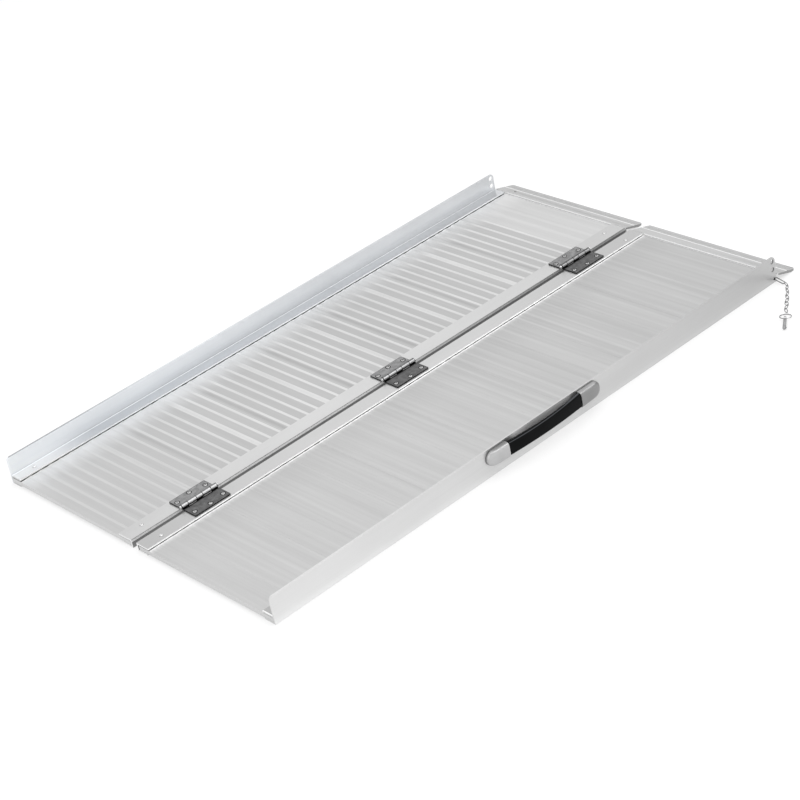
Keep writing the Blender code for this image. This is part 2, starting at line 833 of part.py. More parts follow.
eye = ring_centre + ring_axis_u * RING_RADIUS
slope_down = math.asin((pin_height - LOCK_PIN_RADIUS - 0.1) / (LOCK_PIN_LENGTH + 2))
pin_direction = Vector(
    (away.x * math.cos(slope_down), away.y * math.cos(slope_down), -math.sin(slope_down))
)
pin = object_from(
    "locking_pin",
    rods_mesh([(LOCK_PIN_RADIUS, eye + pin_direction * 2.6, eye + pin_direction * LOCK_PIN_LENGTH)], 14),
    tuple(eye),
)
finish(pin, NEAR, PIN_STEEL, 40)
chamfer = pin.modifiers.new("tip", "BEVEL")
chamfer.width = 1.1 * MM
chamfer.segments = 1
chamfer.limit_method = "ANGLE"
chamfer.angle_limit = math.radians(60)
add(pin, rods_mesh([(4.4, eye - across * 2.2, eye + across * 2.2)], 16))
ball = bmesh.new()
bmesh.ops.create_uvsphere(
    ball,
    u_segments=8,
    v_segments=4,
    radius=1.3,
    matrix=Matrix.Translation(
        eye + pin_direction * (LOCK_PIN_LENGTH - 4.5) + across * (LOCK_PIN_RADIUS - 0.25)
    ),
)
ball_mesh = bpy.data.meshes.new("ball")
ball.to_mesh(ball_mesh)
ball.free()
add(pin, ball_mesh)
cut(pin, rods_mesh([(2.1, eye - across * 5, eye + across * 5)], 10))
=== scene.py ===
import math

import bmesh
import bpy
from mathutils import Matrix, Vector


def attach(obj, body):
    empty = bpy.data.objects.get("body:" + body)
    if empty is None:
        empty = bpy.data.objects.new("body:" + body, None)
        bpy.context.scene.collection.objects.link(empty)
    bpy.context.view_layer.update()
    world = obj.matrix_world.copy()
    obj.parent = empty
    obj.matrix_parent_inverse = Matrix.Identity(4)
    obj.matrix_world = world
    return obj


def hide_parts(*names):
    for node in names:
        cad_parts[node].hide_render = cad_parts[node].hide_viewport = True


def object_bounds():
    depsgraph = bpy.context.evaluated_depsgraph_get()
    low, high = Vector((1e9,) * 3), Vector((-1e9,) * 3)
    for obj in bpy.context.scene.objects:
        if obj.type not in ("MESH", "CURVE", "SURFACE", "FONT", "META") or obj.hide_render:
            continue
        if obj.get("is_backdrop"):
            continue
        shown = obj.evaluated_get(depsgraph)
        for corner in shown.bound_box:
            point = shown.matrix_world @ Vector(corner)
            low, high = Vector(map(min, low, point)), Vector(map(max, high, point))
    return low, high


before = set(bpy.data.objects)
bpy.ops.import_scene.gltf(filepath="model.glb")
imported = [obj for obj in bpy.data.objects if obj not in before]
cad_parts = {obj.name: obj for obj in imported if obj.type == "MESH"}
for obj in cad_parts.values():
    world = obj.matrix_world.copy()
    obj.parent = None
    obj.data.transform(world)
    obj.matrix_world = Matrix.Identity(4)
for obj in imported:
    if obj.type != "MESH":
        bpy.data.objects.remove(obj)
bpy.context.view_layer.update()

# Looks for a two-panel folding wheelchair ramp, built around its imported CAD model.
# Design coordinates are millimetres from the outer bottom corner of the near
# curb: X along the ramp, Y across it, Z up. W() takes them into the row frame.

LENGTH, WIDTH, HEIGHT = 1220.0, 730.0, 52.0
LIP_REACH = 50.0
OX, OY = (LENGTH + LIP_REACH) / 2, (WIDTH - 20.0) / 2
WALL, FLANGE_TOP = 3.0, 15.7
FLANGE_UNDER = FLANGE_TOP - WALL
LOCK_X, LOCK_HEIGHTS = 1212.0, (26.3, 44.0)
TETHER_HOLE_X, TETHER_HOLE_Z = 1214.6, 7.0
LOCK_SEEN = (27.2, 43.2)
HANDLE_X, STRAP_SCREW, STRAP_MIDDLE = 604.0, 112.5, 38.5
HINGE_Y, HINGE_Z = 367.8, 20.6
HINGE_CENTRES = (144.0, 610.0, 1076.0)
LEAF, KNUCKLE, LEAF_T = 77.0, 4.6, 2.0
LEAF_LOW = HINGE_Z - KNUCKLE
LEAF_HIGH = LEAF_LOW + LEAF_T
LIP_START, LIP_END, LIP_TOP = LENGTH + 0.4, LENGTH + LIP_REACH, 15.4

scene = bpy.context.scene
scene.view_settings.view_transform = "Standard"
scene.view_settings.look = "None"


def W(x, y, z):
    return Vector(((x - OX) / 1000, (y - OY) / 1000, z / 1000))


# ------------------------------------------------------------------ camera

azimuth, elevation, roll = (math.radians(a) for a in (-37.049, 30.548, 11.712))
back = Vector((
    math.sin(azimuth) * math.cos(elevation),
    -math.cos(azimuth) * math.cos(elevation),
    math.sin(elevation),
))
level_right = (-back).cross(Vector((0, 0, 1))).normalized()
level_down = (-back).cross(level_right)
image_x = level_right * math.cos(roll) + level_down * math.sin(roll)
image_y = back.cross(image_x)
camera = bpy.data.objects.new("camera", bpy.data.cameras.new("camera"))
scene.collection.objects.link(camera)
camera.data.sensor_width = 36
camera.data.lens = 100.997
camera.data.clip_start, camera.data.clip_end = 0.05, 60
placed = Matrix((image_x, image_y, back)).transposed().to_4x4()
placed.translation = W(-1495.60, -2408.70, 2015.19)
camera.matrix_world = placed
scene.camera = camera

# ---------------------------------------------------------------- materials


class Nodes:
    """A short way to write a node tree."""

    def __init__(self, name):
        self.material = bpy.data.materials.new(name)
        self.material.use_nodes = True
        self.tree = self.material.node_tree
        self.shader = self.tree.nodes["Principled BSDF"]
        self.position = self.add("ShaderNodeTexCoord").outputs["Object"]

    def add(self, kind, **settings):
        node = self.tree.nodes.new(kind)
        for key, value in settings.items():
            setattr(node, key, value)
        return node

    def link(self, source, target):
        if isinstance(source, (int, float)):
            target.default_value = source
        elif isinstance(source, tuple):
            target.default_value = source if len(source) != 3 or target.type == "VECTOR" else (*source, 1.0)
        else:
            self.tree.links.new(source, target)

    def math(self, operation, a, b=0.0, c=0.0, clamp=False):
        node = self.add("ShaderNodeMath", operation=operation, use_clamp=clamp)
        for socket, value in zip(node.inputs, (a, b, c)):
            self.link(value, socket)
        return node.outputs[0]

    def axis(self, index, source=None):
        node = self.add("ShaderNodeSeparateXYZ")
        self.link(source or self.position, node.inputs[0])
        return node.outputs[index]

    def noise(self, scale, stretch=(1, 1, 1), detail=3.0, rough=0.5, source=None):
        """Noise from 0 to 1, whose scale is in blobs per metre, stretched by axis."""
        mapping = self.add("ShaderNodeMapping")
        self.link(source or self.position, mapping.inputs["Vector"])
        mapping.inputs["Scale"].default_value = stretch
        node = self.add("ShaderNodeTexNoise")
        self.link(mapping.outputs[0], node.inputs["Vector"])
        node.inputs["Scale"].default_value = scale
        node.inputs["Detail"].default_value = detail
        node.inputs["Roughness"].default_value = rough
        return node.outputs["Fac"]

    def ramp(self, value, low, high, out_low=0.0, out_high=1.0, smooth=True):
        node = self.add("ShaderNodeMapRange", interpolation_type="SMOOTHSTEP" if smooth else "LINEAR")
        self.link(value, node.inputs["Value"])
        for key, number in (("From Min", low), ("From Max", high), ("To Min", out_low), ("To Max", out_high)):
            self.link(number, node.inputs[key])
        return node.outputs["Result"]

    def mix(self, factor, a, b):
        node = self.add("ShaderNodeMix", data_type="RGBA")
        self.link(factor, node.inputs[0])
        self.link(a, node.inputs[6])
        self.link(b, node.inputs[7])
        return node.outputs[2]

    def scale_colour(self, colour, value):
        node = self.add("ShaderNodeVectorMath", operation="SCALE")
        self.link(colour, node.inputs[0])
        self.link(value, node.inputs["Scale"])
        return node.outputs[0]

    def bump(self, height, strength, distance, normal=None):
        node = self.add("ShaderNodeBump")
        self.link(height, node.inputs["Height"])
        node.inputs["Strength"].default_value = strength
        node.inputs["Distance"].default_value = distance
        if normal:
            self.link(normal, node.inputs["Normal"])
        return node.outputs[0]

    def out(self, colour, roughness, metallic, normal=None):
        self.link(colour, self.shader.inputs["Base Color"])
        self.link(roughness, self.shader.inputs["Roughness"])
        self.shader.inputs["Metallic"].default_value = metallic
        if normal:
            self.link(normal, self.shader.inputs["Normal"])
        return self.material


def design(n):
    """The shading point in design millimetres, and the body's own normal."""
    x = n.math("ADD", n.math("MULTIPLY", n.axis(0), 1000.0), OX)
    y = n.math("ADD", n.math("MULTIPLY", n.axis(1), 1000.0), OY)
    z = n.math("MULTIPLY", n.axis(2), 1000.0)
    normal = n.add("ShaderNodeTexCoord").outputs["Normal"]
    return x, y, z, normal


def metal_tone(n):
    """Mill-finish extrusion: die lines along X, cloudy tone, a few scuffs."""
    lines = n.noise(1.0, (1.6, 900, 900), 4, 0.6)
    cloud = n.noise(9.0, (0.5, 1, 1), 3)
    scuff = n.noise(160.0, (0.12, 1, 1), 2, 0.6)
    tone = n.ramp(lines, 0.3, 0.7, 0.975, 1.02)
    tone = n.math("MULTIPLY", tone, n.ramp(cloud, 0.3, 0.7, 0.975, 1.025))
    tone = n.math("MULTIPLY", tone, n.ramp(scuff, 0.66, 0.8, 1.0, 0.96))
    rough = n.math("ADD", n.ramp(lines, 0.25, 0.75, 0.30, 0.40), n.ramp(scuff, 0.6, 0.8, 0.0, 0.12))
    normal = n.bump(scuff, 0.05, 0.0002, n.bump(lines, 0.12, 0.0002))
    return tone, rough, normal


def finish_metal(n, tint, tone, rough, normal, metallic=0.82, sawn=None):
    colour = n.scale_colour(tint, tone)
    limit = n.add("ShaderNodeVectorMath", operation="MINIMUM")
    n.link(colour, limit.inputs[0])
    limit.inputs[1].default_value = (0.98, 0.98, 0.98)
    material = n.out(limit.outputs[0], rough, metallic, normal)
    if sawn:
        # A sawn face scatters light where the drawn surface mirrors it.
        n.link(mixed(n, sawn, metallic, 0.12), n.shader.inputs["Metallic"])
    return material


def facing(n, normal, index, sign):
    value = n.axis(index, normal)
    return n.ramp(n.math("MULTIPLY", value, float(sign)), 0.55, 0.85)


def mixed(n, factor, a, b):
    """a where factor is 0, b where it's 1."""
    return n.math("ADD", n.math("MULTIPLY", a, n.math("SUBTRACT", 1.0, factor)), n.math("MULTIPLY", b, factor))


def near_rail(name):
    n = Nodes(name)
    x, y, z, normal = design(n)
    tone, rough, bump = metal_tone(n)
    # Painted light: the curb face is lighter at the bottom end and low down, fading towards the top end and up its
    # face.
    along = n.ramp(x, 150.0, 1150.0, 0.80, 0.565, smooth=False)
    along = n.math("MULTIPLY", along, n.ramp(x, 0.0, 160.0, 1.03, 1.0))
    along = n.math("MULTIPLY", along, n.ramp(z, 1.0, 14.0, 0.98, 0.885))
    along = n.math("MULTIPLY", along, n.ramp(z, 14.0, 27.0, 1.0, 0.963))
    # Fitted to the photograph: the shade behind the grip, on the flange and in the holes.
    reach = n.math("ABSOLUTE", n.math("SUBTRACT", x, HANDLE_X))
    # Painted shade on the curb face behind the grip.
    painted_grip_shade = n.math("MULTIPLY", n.ramp(reach, 62.0, 84.0, 1.0, 0.0), n.ramp(z, 32.0, 40.0))
    painted_grip_shade = n.math("MULTIPLY", painted_grip_shade, n.ramp(y, 0.02, 0.3, 1.0, 0.0))
    along = mixed(n, painted_grip_shade, along, n.math("MULTIPLY", n.ramp(x, HANDLE_X - 70, HANDLE_X - 15, 0.74, 0.49), n.ramp(x, HANDLE_X, HANDLE_X + 75, 1.0, 1.1)))
    rough = mixed(n, painted_grip_shade, rough, 0.8)
    on_flange = n.math("MULTIPLY", n.ramp(y, 3.4, 4.2), n.ramp(z, 17.2, 18.2, 1.0, 0.0))
    along = mixed(n, on_flange, along, 0.43)
    # Painted highlight along the flange's end edge.
    along = mixed(n, n.math("MULTIPLY", on_flange, n.ramp(x, 1.5, 2.3, 1.0, 0.0)), along, 0.97)
    ends = n.math("MULTIPLY", facing(n, normal, 0, -1), n.ramp(x, 0.6, 1.0, 1.0, 0.0))
    along = mixed(n, ends, along, 0.66)
    along = n.math("MULTIPLY", along, hole_shade(n, x, z, (*((LOCK_X, h, 4.2) for h in LOCK_SEEN), (TETHER_HOLE_X, TETHER_HOLE_Z, 2.5))))
    return finish_metal(n, (1.0, 1.0, 1.0), n.math("MULTIPLY", tone, along), rough, bump)


def hole_shade(n, x, z, holes):
    shade = 1.0
    for hole_x, hole_z, radius in holes:
        dx = n.math("SUBTRACT", x, hole_x)
        dz = n.math("SUBTRACT", z, hole_z)
        distance = n.math("SQRT", n.math("ADD", n.math("MULTIPLY", dx, dx), n.math("MULTIPLY", dz, dz)))
        shade = n.math("MULTIPLY", shade, n.ramp(distance, radius + 0.05, radius + 0.5, 0.42, 1.0))
    return shade


def far_rail(name):
    n = Nodes(name)
    x, y, z, normal = design(n)
    tone, rough, bump = metal_tone(n)
    end = n.ramp(x, 60.0, 190.0, 1.0, 0.0)
    # Painted light: the wall is lighter towards its top edge, and more so at the bottom end.
    foot = n.ramp(x, 150.0, 900.0, 0.89, 0.755, smooth=False)
    top = n.math("MULTIPLY", n.ramp(x, 150.0, 900.0, 0.92, 0.735, smooth=False), n.ramp(x, 900.0, 1100.0, 1.0, 0.92))
    wall = mixed(n, n.ramp(z, 30.0, 50.0, smooth=False), foot, top)
    wall = mixed(n, end, wall, 0.95)
    # Painted shade: the wall is darker low down, by the flange.
    wall = n.math("MULTIPLY", wall, mixed(n, n.ramp(z, 16.0, 20.5), mixed(n, end, n.ramp(x, 150.0, 1200.0, 0.74, 0.80), 0.80), 1.0))
    # Painted light: the flange is darker than the wall, lighter near the top end and at the bottom end.
    flange = n.math("MULTIPLY", n.ramp(x, 150.0, 1000.0, 0.425, 0.44), n.ramp(x, 1020.0, 1160.0, 1.0, 1.11))
    flange = mixed(n, end, flange, 0.63)
    # Fitted to the photograph: a painted reflection makes the flange lighter past the lip's corner.
    corner = n.math("SUBTRACT", n.math("SUBTRACT", x, 1204.7), n.math("MULTIPLY", n.math("SUBTRACT", y, 709.8), 0.757))
    flange = mixed(n, n.ramp(corner, -0.5, 1.5), flange, 0.66)
    on_flange = n.math("MULTIPLY", n.ramp(y, 725.4, 726.2, 1.0, 0.0), n.ramp(z, 17.2, 18.2, 1.0, 0.0))
    base = mixed(n, on_flange, wall, flange)
    # Painted highlight on the flange's edge face.
    edge = n.math("MULTIPLY", n.ramp(y, 702.5, 703.3, 1.0, 0.0), facing(n, normal, 1, -1))
    base = mixed(n, edge, base, 0.84)
    # The top face is darker, and most of all at the bottom end; so is the sawn end face there.
    outline = n.math("MULTIPLY", n.ramp(z, 51.2, 51.9), n.ramp(x, 90.0, 420.0, 0.62, 0.12))
    ends = n.math("MULTIPLY", facing(n, normal, 0, -1), n.ramp(x, 8.0, 12.0, 0.14, 0.0))
    base = n.math("MULTIPLY", base, n.math("SUBTRACT", 1.0, n.math("MAXIMUM", outline, ends)))
    # Painted reflection: a faint bluish tint, a little stronger at the bottom end.
    tint = n.mix(n.ramp(x, 0.0, 1200.0), (0.968, 1.0, 1.036), (0.98, 1.0, 1.024))
    tint = n.mix(n.math("MULTIPLY", on_flange, end), tint, (1.0, 1.0, 1.0))
    return finish_metal(n, tint, n.math("MULTIPLY", tone, base), rough, bump)


def strip_metal(name):
    """Both centre rails: pale top, painted lighter mid-length; painted highlights on the flange edge and end faces;
    painted shade in the seam.
    """
    n = Nodes(name)
    x, y, z, normal = design(n)
    tone, rough, bump = metal_tone(n)
    far = n.ramp(y, 362.0, 364.0)
    # Painted light: the tops are lighter in the middle of the length.
    lift = n.math("SUBTRACT", 1.0, n.math("ABSOLUTE", n.math("DIVIDE", n.math("SUBTRACT", x, 560.0), 620.0)))
    far_top = n.ramp(lift, 0.0, 0.75, 0.575, 0.645)
    near_top = n.math("MULTIPLY", n.ramp(lift, 0.0, 0.75, 0.50, 0.605), n.math("MULTIPLY", n.ramp(x, 1000.0, 1150.0, 1.0, 1.045), n.ramp(x, 60.0, 200.0, 0.95, 1.0)))
    base = mixed(n, far, near_top, far_top)
    # Painted light and shade on the faces in the seam: dark low down, a lighter band at the top.
    dark = n.ramp(x, 100.0, 1200.0, 0.215, 0.135, smooth=False)
    light = n.ramp(x, 500.0, 1000.0, 0.98, 0.46, smooth=False)
    seam_tone = mixed(n, n.ramp(z, 10.4, 11.8), dark, light)
    seam = n.math("MULTIPLY", n.ramp(y, 371.8, 372.6, 1.0, 0.0), n.ramp(y, 369.0, 370.0))
    seam = n.math("MULTIPLY", seam, facing(n, normal, 1, -1))
    base = mixed(n, seam, base, seam_tone)
    # Painted shade along the far strip's edge by the seam.
    crest = n.math("MULTIPLY", n.ramp(n.math("ABSOLUTE", n.math("SUBTRACT", y, 371.3)), 0.7, 1.0, 1.0, 0.0), n.ramp(z, 14.9, 15.2))
    base = mixed(n, crest, base, 0.30)
    # Painted light on the bottom end faces.
    ends = n.math("MULTIPLY", facing(n, normal, 0, -1), n.ramp(x, 0.6, 1.0, 1.0, 0.0))
    base = mixed(n, ends, base, 0.80)
    # Painted highlight on the flange edge that faces the near deck.
    edge = n.math("MULTIPLY", n.ramp(y, 325.6, 326.4, 1.0, 0.0), facing(n, normal, 1, -1))
    base = mixed(n, edge, base, 0.95)
    return finish_metal(n, (1.0, 1.0, 1.0), n.math("MULTIPLY", tone, base), rough, bump)


def lip_metal(name):
    n = Nodes(name)
    x, y, z, normal = design(n)
    tone, rough, bump = metal_tone(n)
    slope = (LIP_TOP - WALL) / (LIP_END - 4 - LIP_START)
    surface = n.math("SUBTRACT", LIP_TOP, n.math("MULTIPLY", n.math("SUBTRACT", x, LIP_START), slope))
    above = n.math("SUBTRACT", z, surface)
    base = n.ramp(x, 1244.0, 1252.0, 0.535, 0.545)
    # Painted highlight on the ridge's top.
    base = mixed(n, n.ramp(above, 0.12, 0.45), base, 0.92)
    # Painted highlight on the start face.
    start = n.math("MULTIPLY", facing(n, normal, 0, -1), n.ramp(x, 1224.5, 1225.5, 1.0, 0.0))
    base = mixed(n, start, base, 0.98)
    # Painted shade on the underside and the near end face.
    under = n.math("MAXIMUM", facing(n, normal, 2, -1), facing(n, normal, 1, -1))
    base = mixed(n, under, base, 0.24)
    # Painted shade over the nose, darkest at the near end.
    tip = n.ramp(x, 1266.8, 1268.0)
    base = mixed(n, tip, base, n.ramp(y, 0.0, 30.0, 0.09, 0.34))
    return finish_metal(n, (1.0, 1.0, 1.0), n.math("MULTIPLY", tone, base), rough, bump, sawn=n.math("MAXIMUM", start, under))


def deck_aluminium(name, far):
    """Ribbed planks. The tone by position is fitted to the photograph, shading included."""
    n = Nodes(name)
    x, y, z, normal = design(n)
    ribs = n.add("ShaderNodeAttribute", attribute_name="rib").outputs["Fac"]
    fine = n.noise(1.0, (1300, 3.0, 1), 3, 0.6)
    streak = n.noise(1.0, (120, 1.6, 1), 3, 0.5)
    wide = n.noise(1.0, (16, 2.2, 1), 2, 0.5)
    cloud = n.noise(5.0, (1, 1.4, 1), 3, 0.5)
    scuff = n.noise(90.0, (1, 0.22, 1), 3, 0.65)
    plank = n.math("FLOOR", n.math("DIVIDE", n.math("ADD", x, 4.0), 160.0))
    white = n.add("ShaderNodeTexWhiteNoise", noise_dimensions="1D")
    n.link(plank, white.inputs["W"])
    tone = n.ramp(fine, 0.25, 0.75, 0.985, 1.015)
    tone = n.math("MULTIPLY", tone, n.ramp(streak, 0.3, 0.7, 0.975, 1.02) if far else n.ramp(streak, 0.3, 0.7, 0.952, 1.034))
    tone = n.math("MULTIPLY", tone, n.ramp(wide, 0.3, 0.7, 0.985, 1.015))
    tone = n.math("MULTIPLY", tone, n.ramp(white.outputs[0], 0, 1, 0.985, 1.015, smooth=False))
    tone = n.math("MULTIPLY", tone, n.ramp(scuff, 0.64, 0.8, 1.0, 0.97))
    wobble = n.math("MULTIPLY", n.math("SUBTRACT", streak, 0.5), 34.0)
    if far:
        ground, ridge = 0.503, 0.70
        strength = n.math("MULTIPLY", n.ramp(x, 120.0, 330.0, 0.42, 1.0), n.ramp(n.math("ADD", y, wobble), 646.0, 684.0, 1.0, 0.15))
        strength = n.math("MULTIPLY", strength, n.ramp(cloud, 0.3, 0.7, 0.80, 1.05))
        # Painted light: a glow beside the far flange, stronger at the top end, and at the far corner of the bottom end.
        glow = n.ramp(n.math("ADD", y, wobble), 628.0, 692.0)
        glow = n.math("MULTIPLY", glow, n.ramp(x, 100.0, 800.0, 0.48, 0.42))
        glow = n.math("MULTIPLY", glow, n.ramp(x, 1000.0, 1160.0, 1.0, 1.4))
        corner = n.math("MULTIPLY", n.ramp(x, 10.0, 150.0, 0.15, 0.0), n.ramp(y, 560.0, 660.0))
        glow = n.math("MAXIMUM", glow, corner)
        end = n.ramp(x, 1114.0, 1118.0)
        # Painted light: the ground is lighter at the bottom end.
        ground = mixed(n, end, n.ramp(x, 100.0, 420.0, 0.528, ground), 0.605)
        bright = 0.77
    else:
        # Painted light: the ground is lighter at the bottom end.
        ground, ridge = n.ramp(x, 100.0, 1150.0, 0.556, 0.508), 0.585
        strength = n.ramp(cloud, 0.3, 0.7, 0.10, 0.55)
        # Painted light: a glow beside the flange edge at the seam, strongest at the bottom end.
        near_strip = n.math("SUBTRACT", 325.0, n.math("ADD", y, n.math("MULTIPLY", wobble, 0.35)))
        glow = n.math("MULTIPLY", n.ramp(near_strip, 1.0, 16.0, 1.0, 0.0), n.ramp(x, 60.0, 420.0, 0.85, 0.42))
        # Fitted to the photograph: slightly darker towards the seam and the curb.
        darker_toward_seam = n.ramp(n.math("ADD", near_strip, n.math("MULTIPLY", wobble, 1.5)), 12.0, 110.0, 0.94, 1.0)
        tone = n.math("MULTIPLY", tone, n.math("MAXIMUM", darker_toward_seam, glow))
        bright = 0.80
    # Painted light: rib tops lighter than the ground, strongly on the far deck and faintly on the near one.
    shown = n.math("MULTIPLY", ribs, strength)
    base = mixed(n, shown, ground, ridge)
    base = mixed(n, glow, base, bright)
    # Painted light on the first plank's bottom end face.
    start = n.math("MULTIPLY", facing(n, normal, 0, -1), n.ramp(x, 0.8, 1.2, 1.0, 0.0))
    base = mixed(n, start, base, 0.61)
    # The dashed dark line beside each flange edge, as the photograph shows it. The
    # dashes are probably its resampling, and the line shade, not marks on the metal.
    upward = facing(n, normal, 2, 1)
    # Painted reflection: a light band on the deck just before each flange edge.
    painted_reflection_band = n.ramp(y, 696.6, 697.6) if far else n.ramp(y, 319.8, 320.8)
    base = mixed(n, n.math("MULTIPLY", painted_reflection_band, upward), base, 0.76 if far else 0.90)
    gap = n.ramp(y, 700.3, 700.9) if far else n.ramp(y, 323.8, 324.4)
    gap = n.math("MULTIPLY", gap, upward)
    dashes = n.math("SINE", n.math("MULTIPLY", x, 2 * math.pi / 24.5))
    base = mixed(n, gap, base, n.ramp(dashes, -0.3, 0.6, 0.30 if far else 0.50, 0.02))
    rough = n.math("ADD", n.ramp(fine, 0.25, 0.75, 0.32, 0.42), n.ramp(scuff, 0.6, 0.8, 0.0, 0.10))
    bump = n.bump(streak, 0.06, 0.0003, n.bump(fine, 0.10, 0.0002))
    return finish_metal(n, (1.0, 1.0, 1.0), n.math("MULTIPLY", tone, base), rough, bump)


def leaf_steel(name, plate_low, plate_high):
    """Rolled steel plate, greyer than its curled knuckles, which carry a painted highlight; tones fitted to the
    photograph.
    """
    n = Nodes(name)
    x, y, z, normal = design(n)
    grains = n.noise(1500.0, (0.08, 1, 1), 3, 0.6)
    cloud = n.noise(110.0, (1, 1, 1), 3)
    spots = n.noise(520.0, (1, 1, 1), 2, 0.5)
    base = n.ramp(cloud, 0.35, 0.65, plate_low, plate_high)
    off = n.math("SUBTRACT", y, HINGE_Y)
    knuckle = n.ramp(n.math("ABSOLUTE", off), 4.6, 5.0, 1.0, 0.0)
    # Painted highlight: the curl is lighter low on its near side, with painted shade below it, and dark in the joints
    # between knuckles.
    toward = n.math("ADD", n.math("MULTIPLY", n.axis(1, normal), -0.85), n.math("MULTIPLY", n.axis(2, normal), 0.53))
    curl = n.ramp(toward, 0.78, 0.95, 0.22, 0.50)
    curl = n.math("MULTIPLY", curl, n.ramp(x, 200.0, 1000.0, 1.0, 0.62))
    curl = mixed(n, n.ramp(z, HINGE_Z - 1.9, HINGE_Z - 0.9, 1.0, 0.0), curl, 0.02)
    base = mixed(n, knuckle, base, curl)
    # Fitted to the photograph: the shade beside the barrel.
    beside = n.math("MULTIPLY", n.ramp(off, -8.3, -7.7), n.ramp(off, -5.0, -4.7, 1.0, 0.0))
    base = mixed(n, n.math("MULTIPLY", beside, n.ramp(z, 18.3, 18.8, 1.0, 0.0)), base, 0.012)
    behind = n.math("MULTIPLY", n.ramp(off, 4.6, 4.9), n.ramp(off, 5.4, 6.2, 1.0, 0.0))
    base = mixed(n, behind, base, 0.07)
    for centre in HINGE_CENTRES:
        for joint in (-25.1, -6.7, 6.7, 25.1):
            near_joint = n.ramp(n.math("ABSOLUTE", n.math("SUBTRACT", x, centre + joint)), 0.45, 0.85, 1.0, 0.0)
            base = mixed(n, n.math("MULTIPLY", near_joint, knuckle), base, 0.02)
    rim = n.math("MULTIPLY", n.math("SUBTRACT", 1.0, knuckle), n.ramp(n.axis(2, normal), 0.5, 0.9, 1.0, 0.0))
    base = mixed(n, rim, base, 0.12)
    # Fitted to the photograph: a painted highlight on the edge that faces the near curb.
    painted_edge_highlight = n.math("MULTIPLY", facing(n, normal, 1, -1), n.ramp(off, -38.5, -38.0, 1.0, 0.0))
    # Dark arrises round the plate.
    for centre in HINGE_CENTRES:
        reach = n.math("ABSOLUTE", n.math("SUBTRACT", x, centre))
        border = n.math("MULTIPLY", n.ramp(reach, LEAF / 2 - 1.2, LEAF / 2 - 0.7), n.ramp(reach, LEAF / 2 + 1.0, LEAF / 2 + 1.5, 1.0, 0.0))
        base = mixed(n, border, base, 0.07)
    across = n.math("MAXIMUM", n.ramp(off, 34.9 - 1.0, 34.9 - 0.5), n.ramp(off, -38.9 + 0.5, -38.9 + 1.0, 1.0, 0.0))
    base = mixed(n, across, base, 0.07)
    base = mixed(n, painted_edge_highlight, base, n.ramp(n.noise(1.0, (420, 1, 1), 2, 0.5), 0.42, 0.58, 0.16, 0.62))
    # Painted shade on everything below the plate's top face: the countersinks and the plate's sides.
    sunk = n.math("MULTIPLY", n.math("SUBTRACT", 1.0, knuckle), n.ramp(z, LEAF_HIGH - 0.18, LEAF_HIGH - 0.08, 1.0, 0.0))
    base = mixed(n, sunk, base, 0.015)
    tone = n.math("MULTIPLY", n.ramp(grains, 0.3, 0.7, 0.90, 1.10), n.ramp(spots, 0.66, 0.74, 1.0, 0.82))
    rough = n.math("ADD", n.ramp(grains, 0.3, 0.7, 0.26, 0.38), n.ramp(spots, 0.6, 0.75, 0.0, 0.10))
    return finish_metal(n, (1.0, 1.0, 1.01), n.math("MULTIPLY", tone, base), rough, n.bump(grains, 0.10, 0.0001), 1.0)


def steel(name, tint, dark, rough_low, rough_high, brushed=(1, 1, 1), grain=900.0, metallic=1.0):
    n = Nodes(name)
    grains = n.noise(grain, brushed, 3, 0.6)
    cloud = n.noise(90.0, (1, 1, 1), 3)
    spots = n.noise(520.0, (1, 1, 1), 2, 0.5)
    colour = n.mix(n.ramp(cloud, 0.35, 0.65), dark, tint)
    tone = n.math("MULTIPLY", n.ramp(grains, 0.3, 0.7, 0.93, 1.06), n.ramp(spots, 0.66, 0.74, 1.0, 0.82))
    colour = n.scale_colour(colour, tone)
    rough = n.math("ADD", n.ramp(grains, 0.3, 0.7, rough_low, rough_high), n.ramp(spots, 0.6, 0.75, 0.0, 0.10))
    normal = n.bump(grains, 0.10, 0.0001)
    return n.out(colour, rough, metallic, normal)


def head_steel(name, face, rim, dark_from, dark_to):
    """Painted light: bright on the crown of a rivet or screw, painted shade on its rim and in its recess."""
    n = Nodes(name)
    normal = n.add("ShaderNodeTexCoord").outputs["Normal"]
    grains = n.noise(2400.0, (1, 1, 1), 3, 0.6)
    cloud = n.noise(400.0, (1, 1, 1), 2)
    base = mixed(n, n.ramp(n.axis(2, normal), dark_from, dark_to), rim, face)
    tone = n.math("MULTIPLY", n.ramp(grains, 0.3, 0.7, 0.92, 1.06), n.ramp(cloud, 0.3, 0.7, 0.94, 1.04))
    return finish_metal(n, (1.0, 1.0, 1.0), n.math("MULTIPLY", tone, base), n.ramp(grains, 0.3, 0.7, 0.18, 0.30), n.bump(grains, 0.08, 0.0001), 1.0)


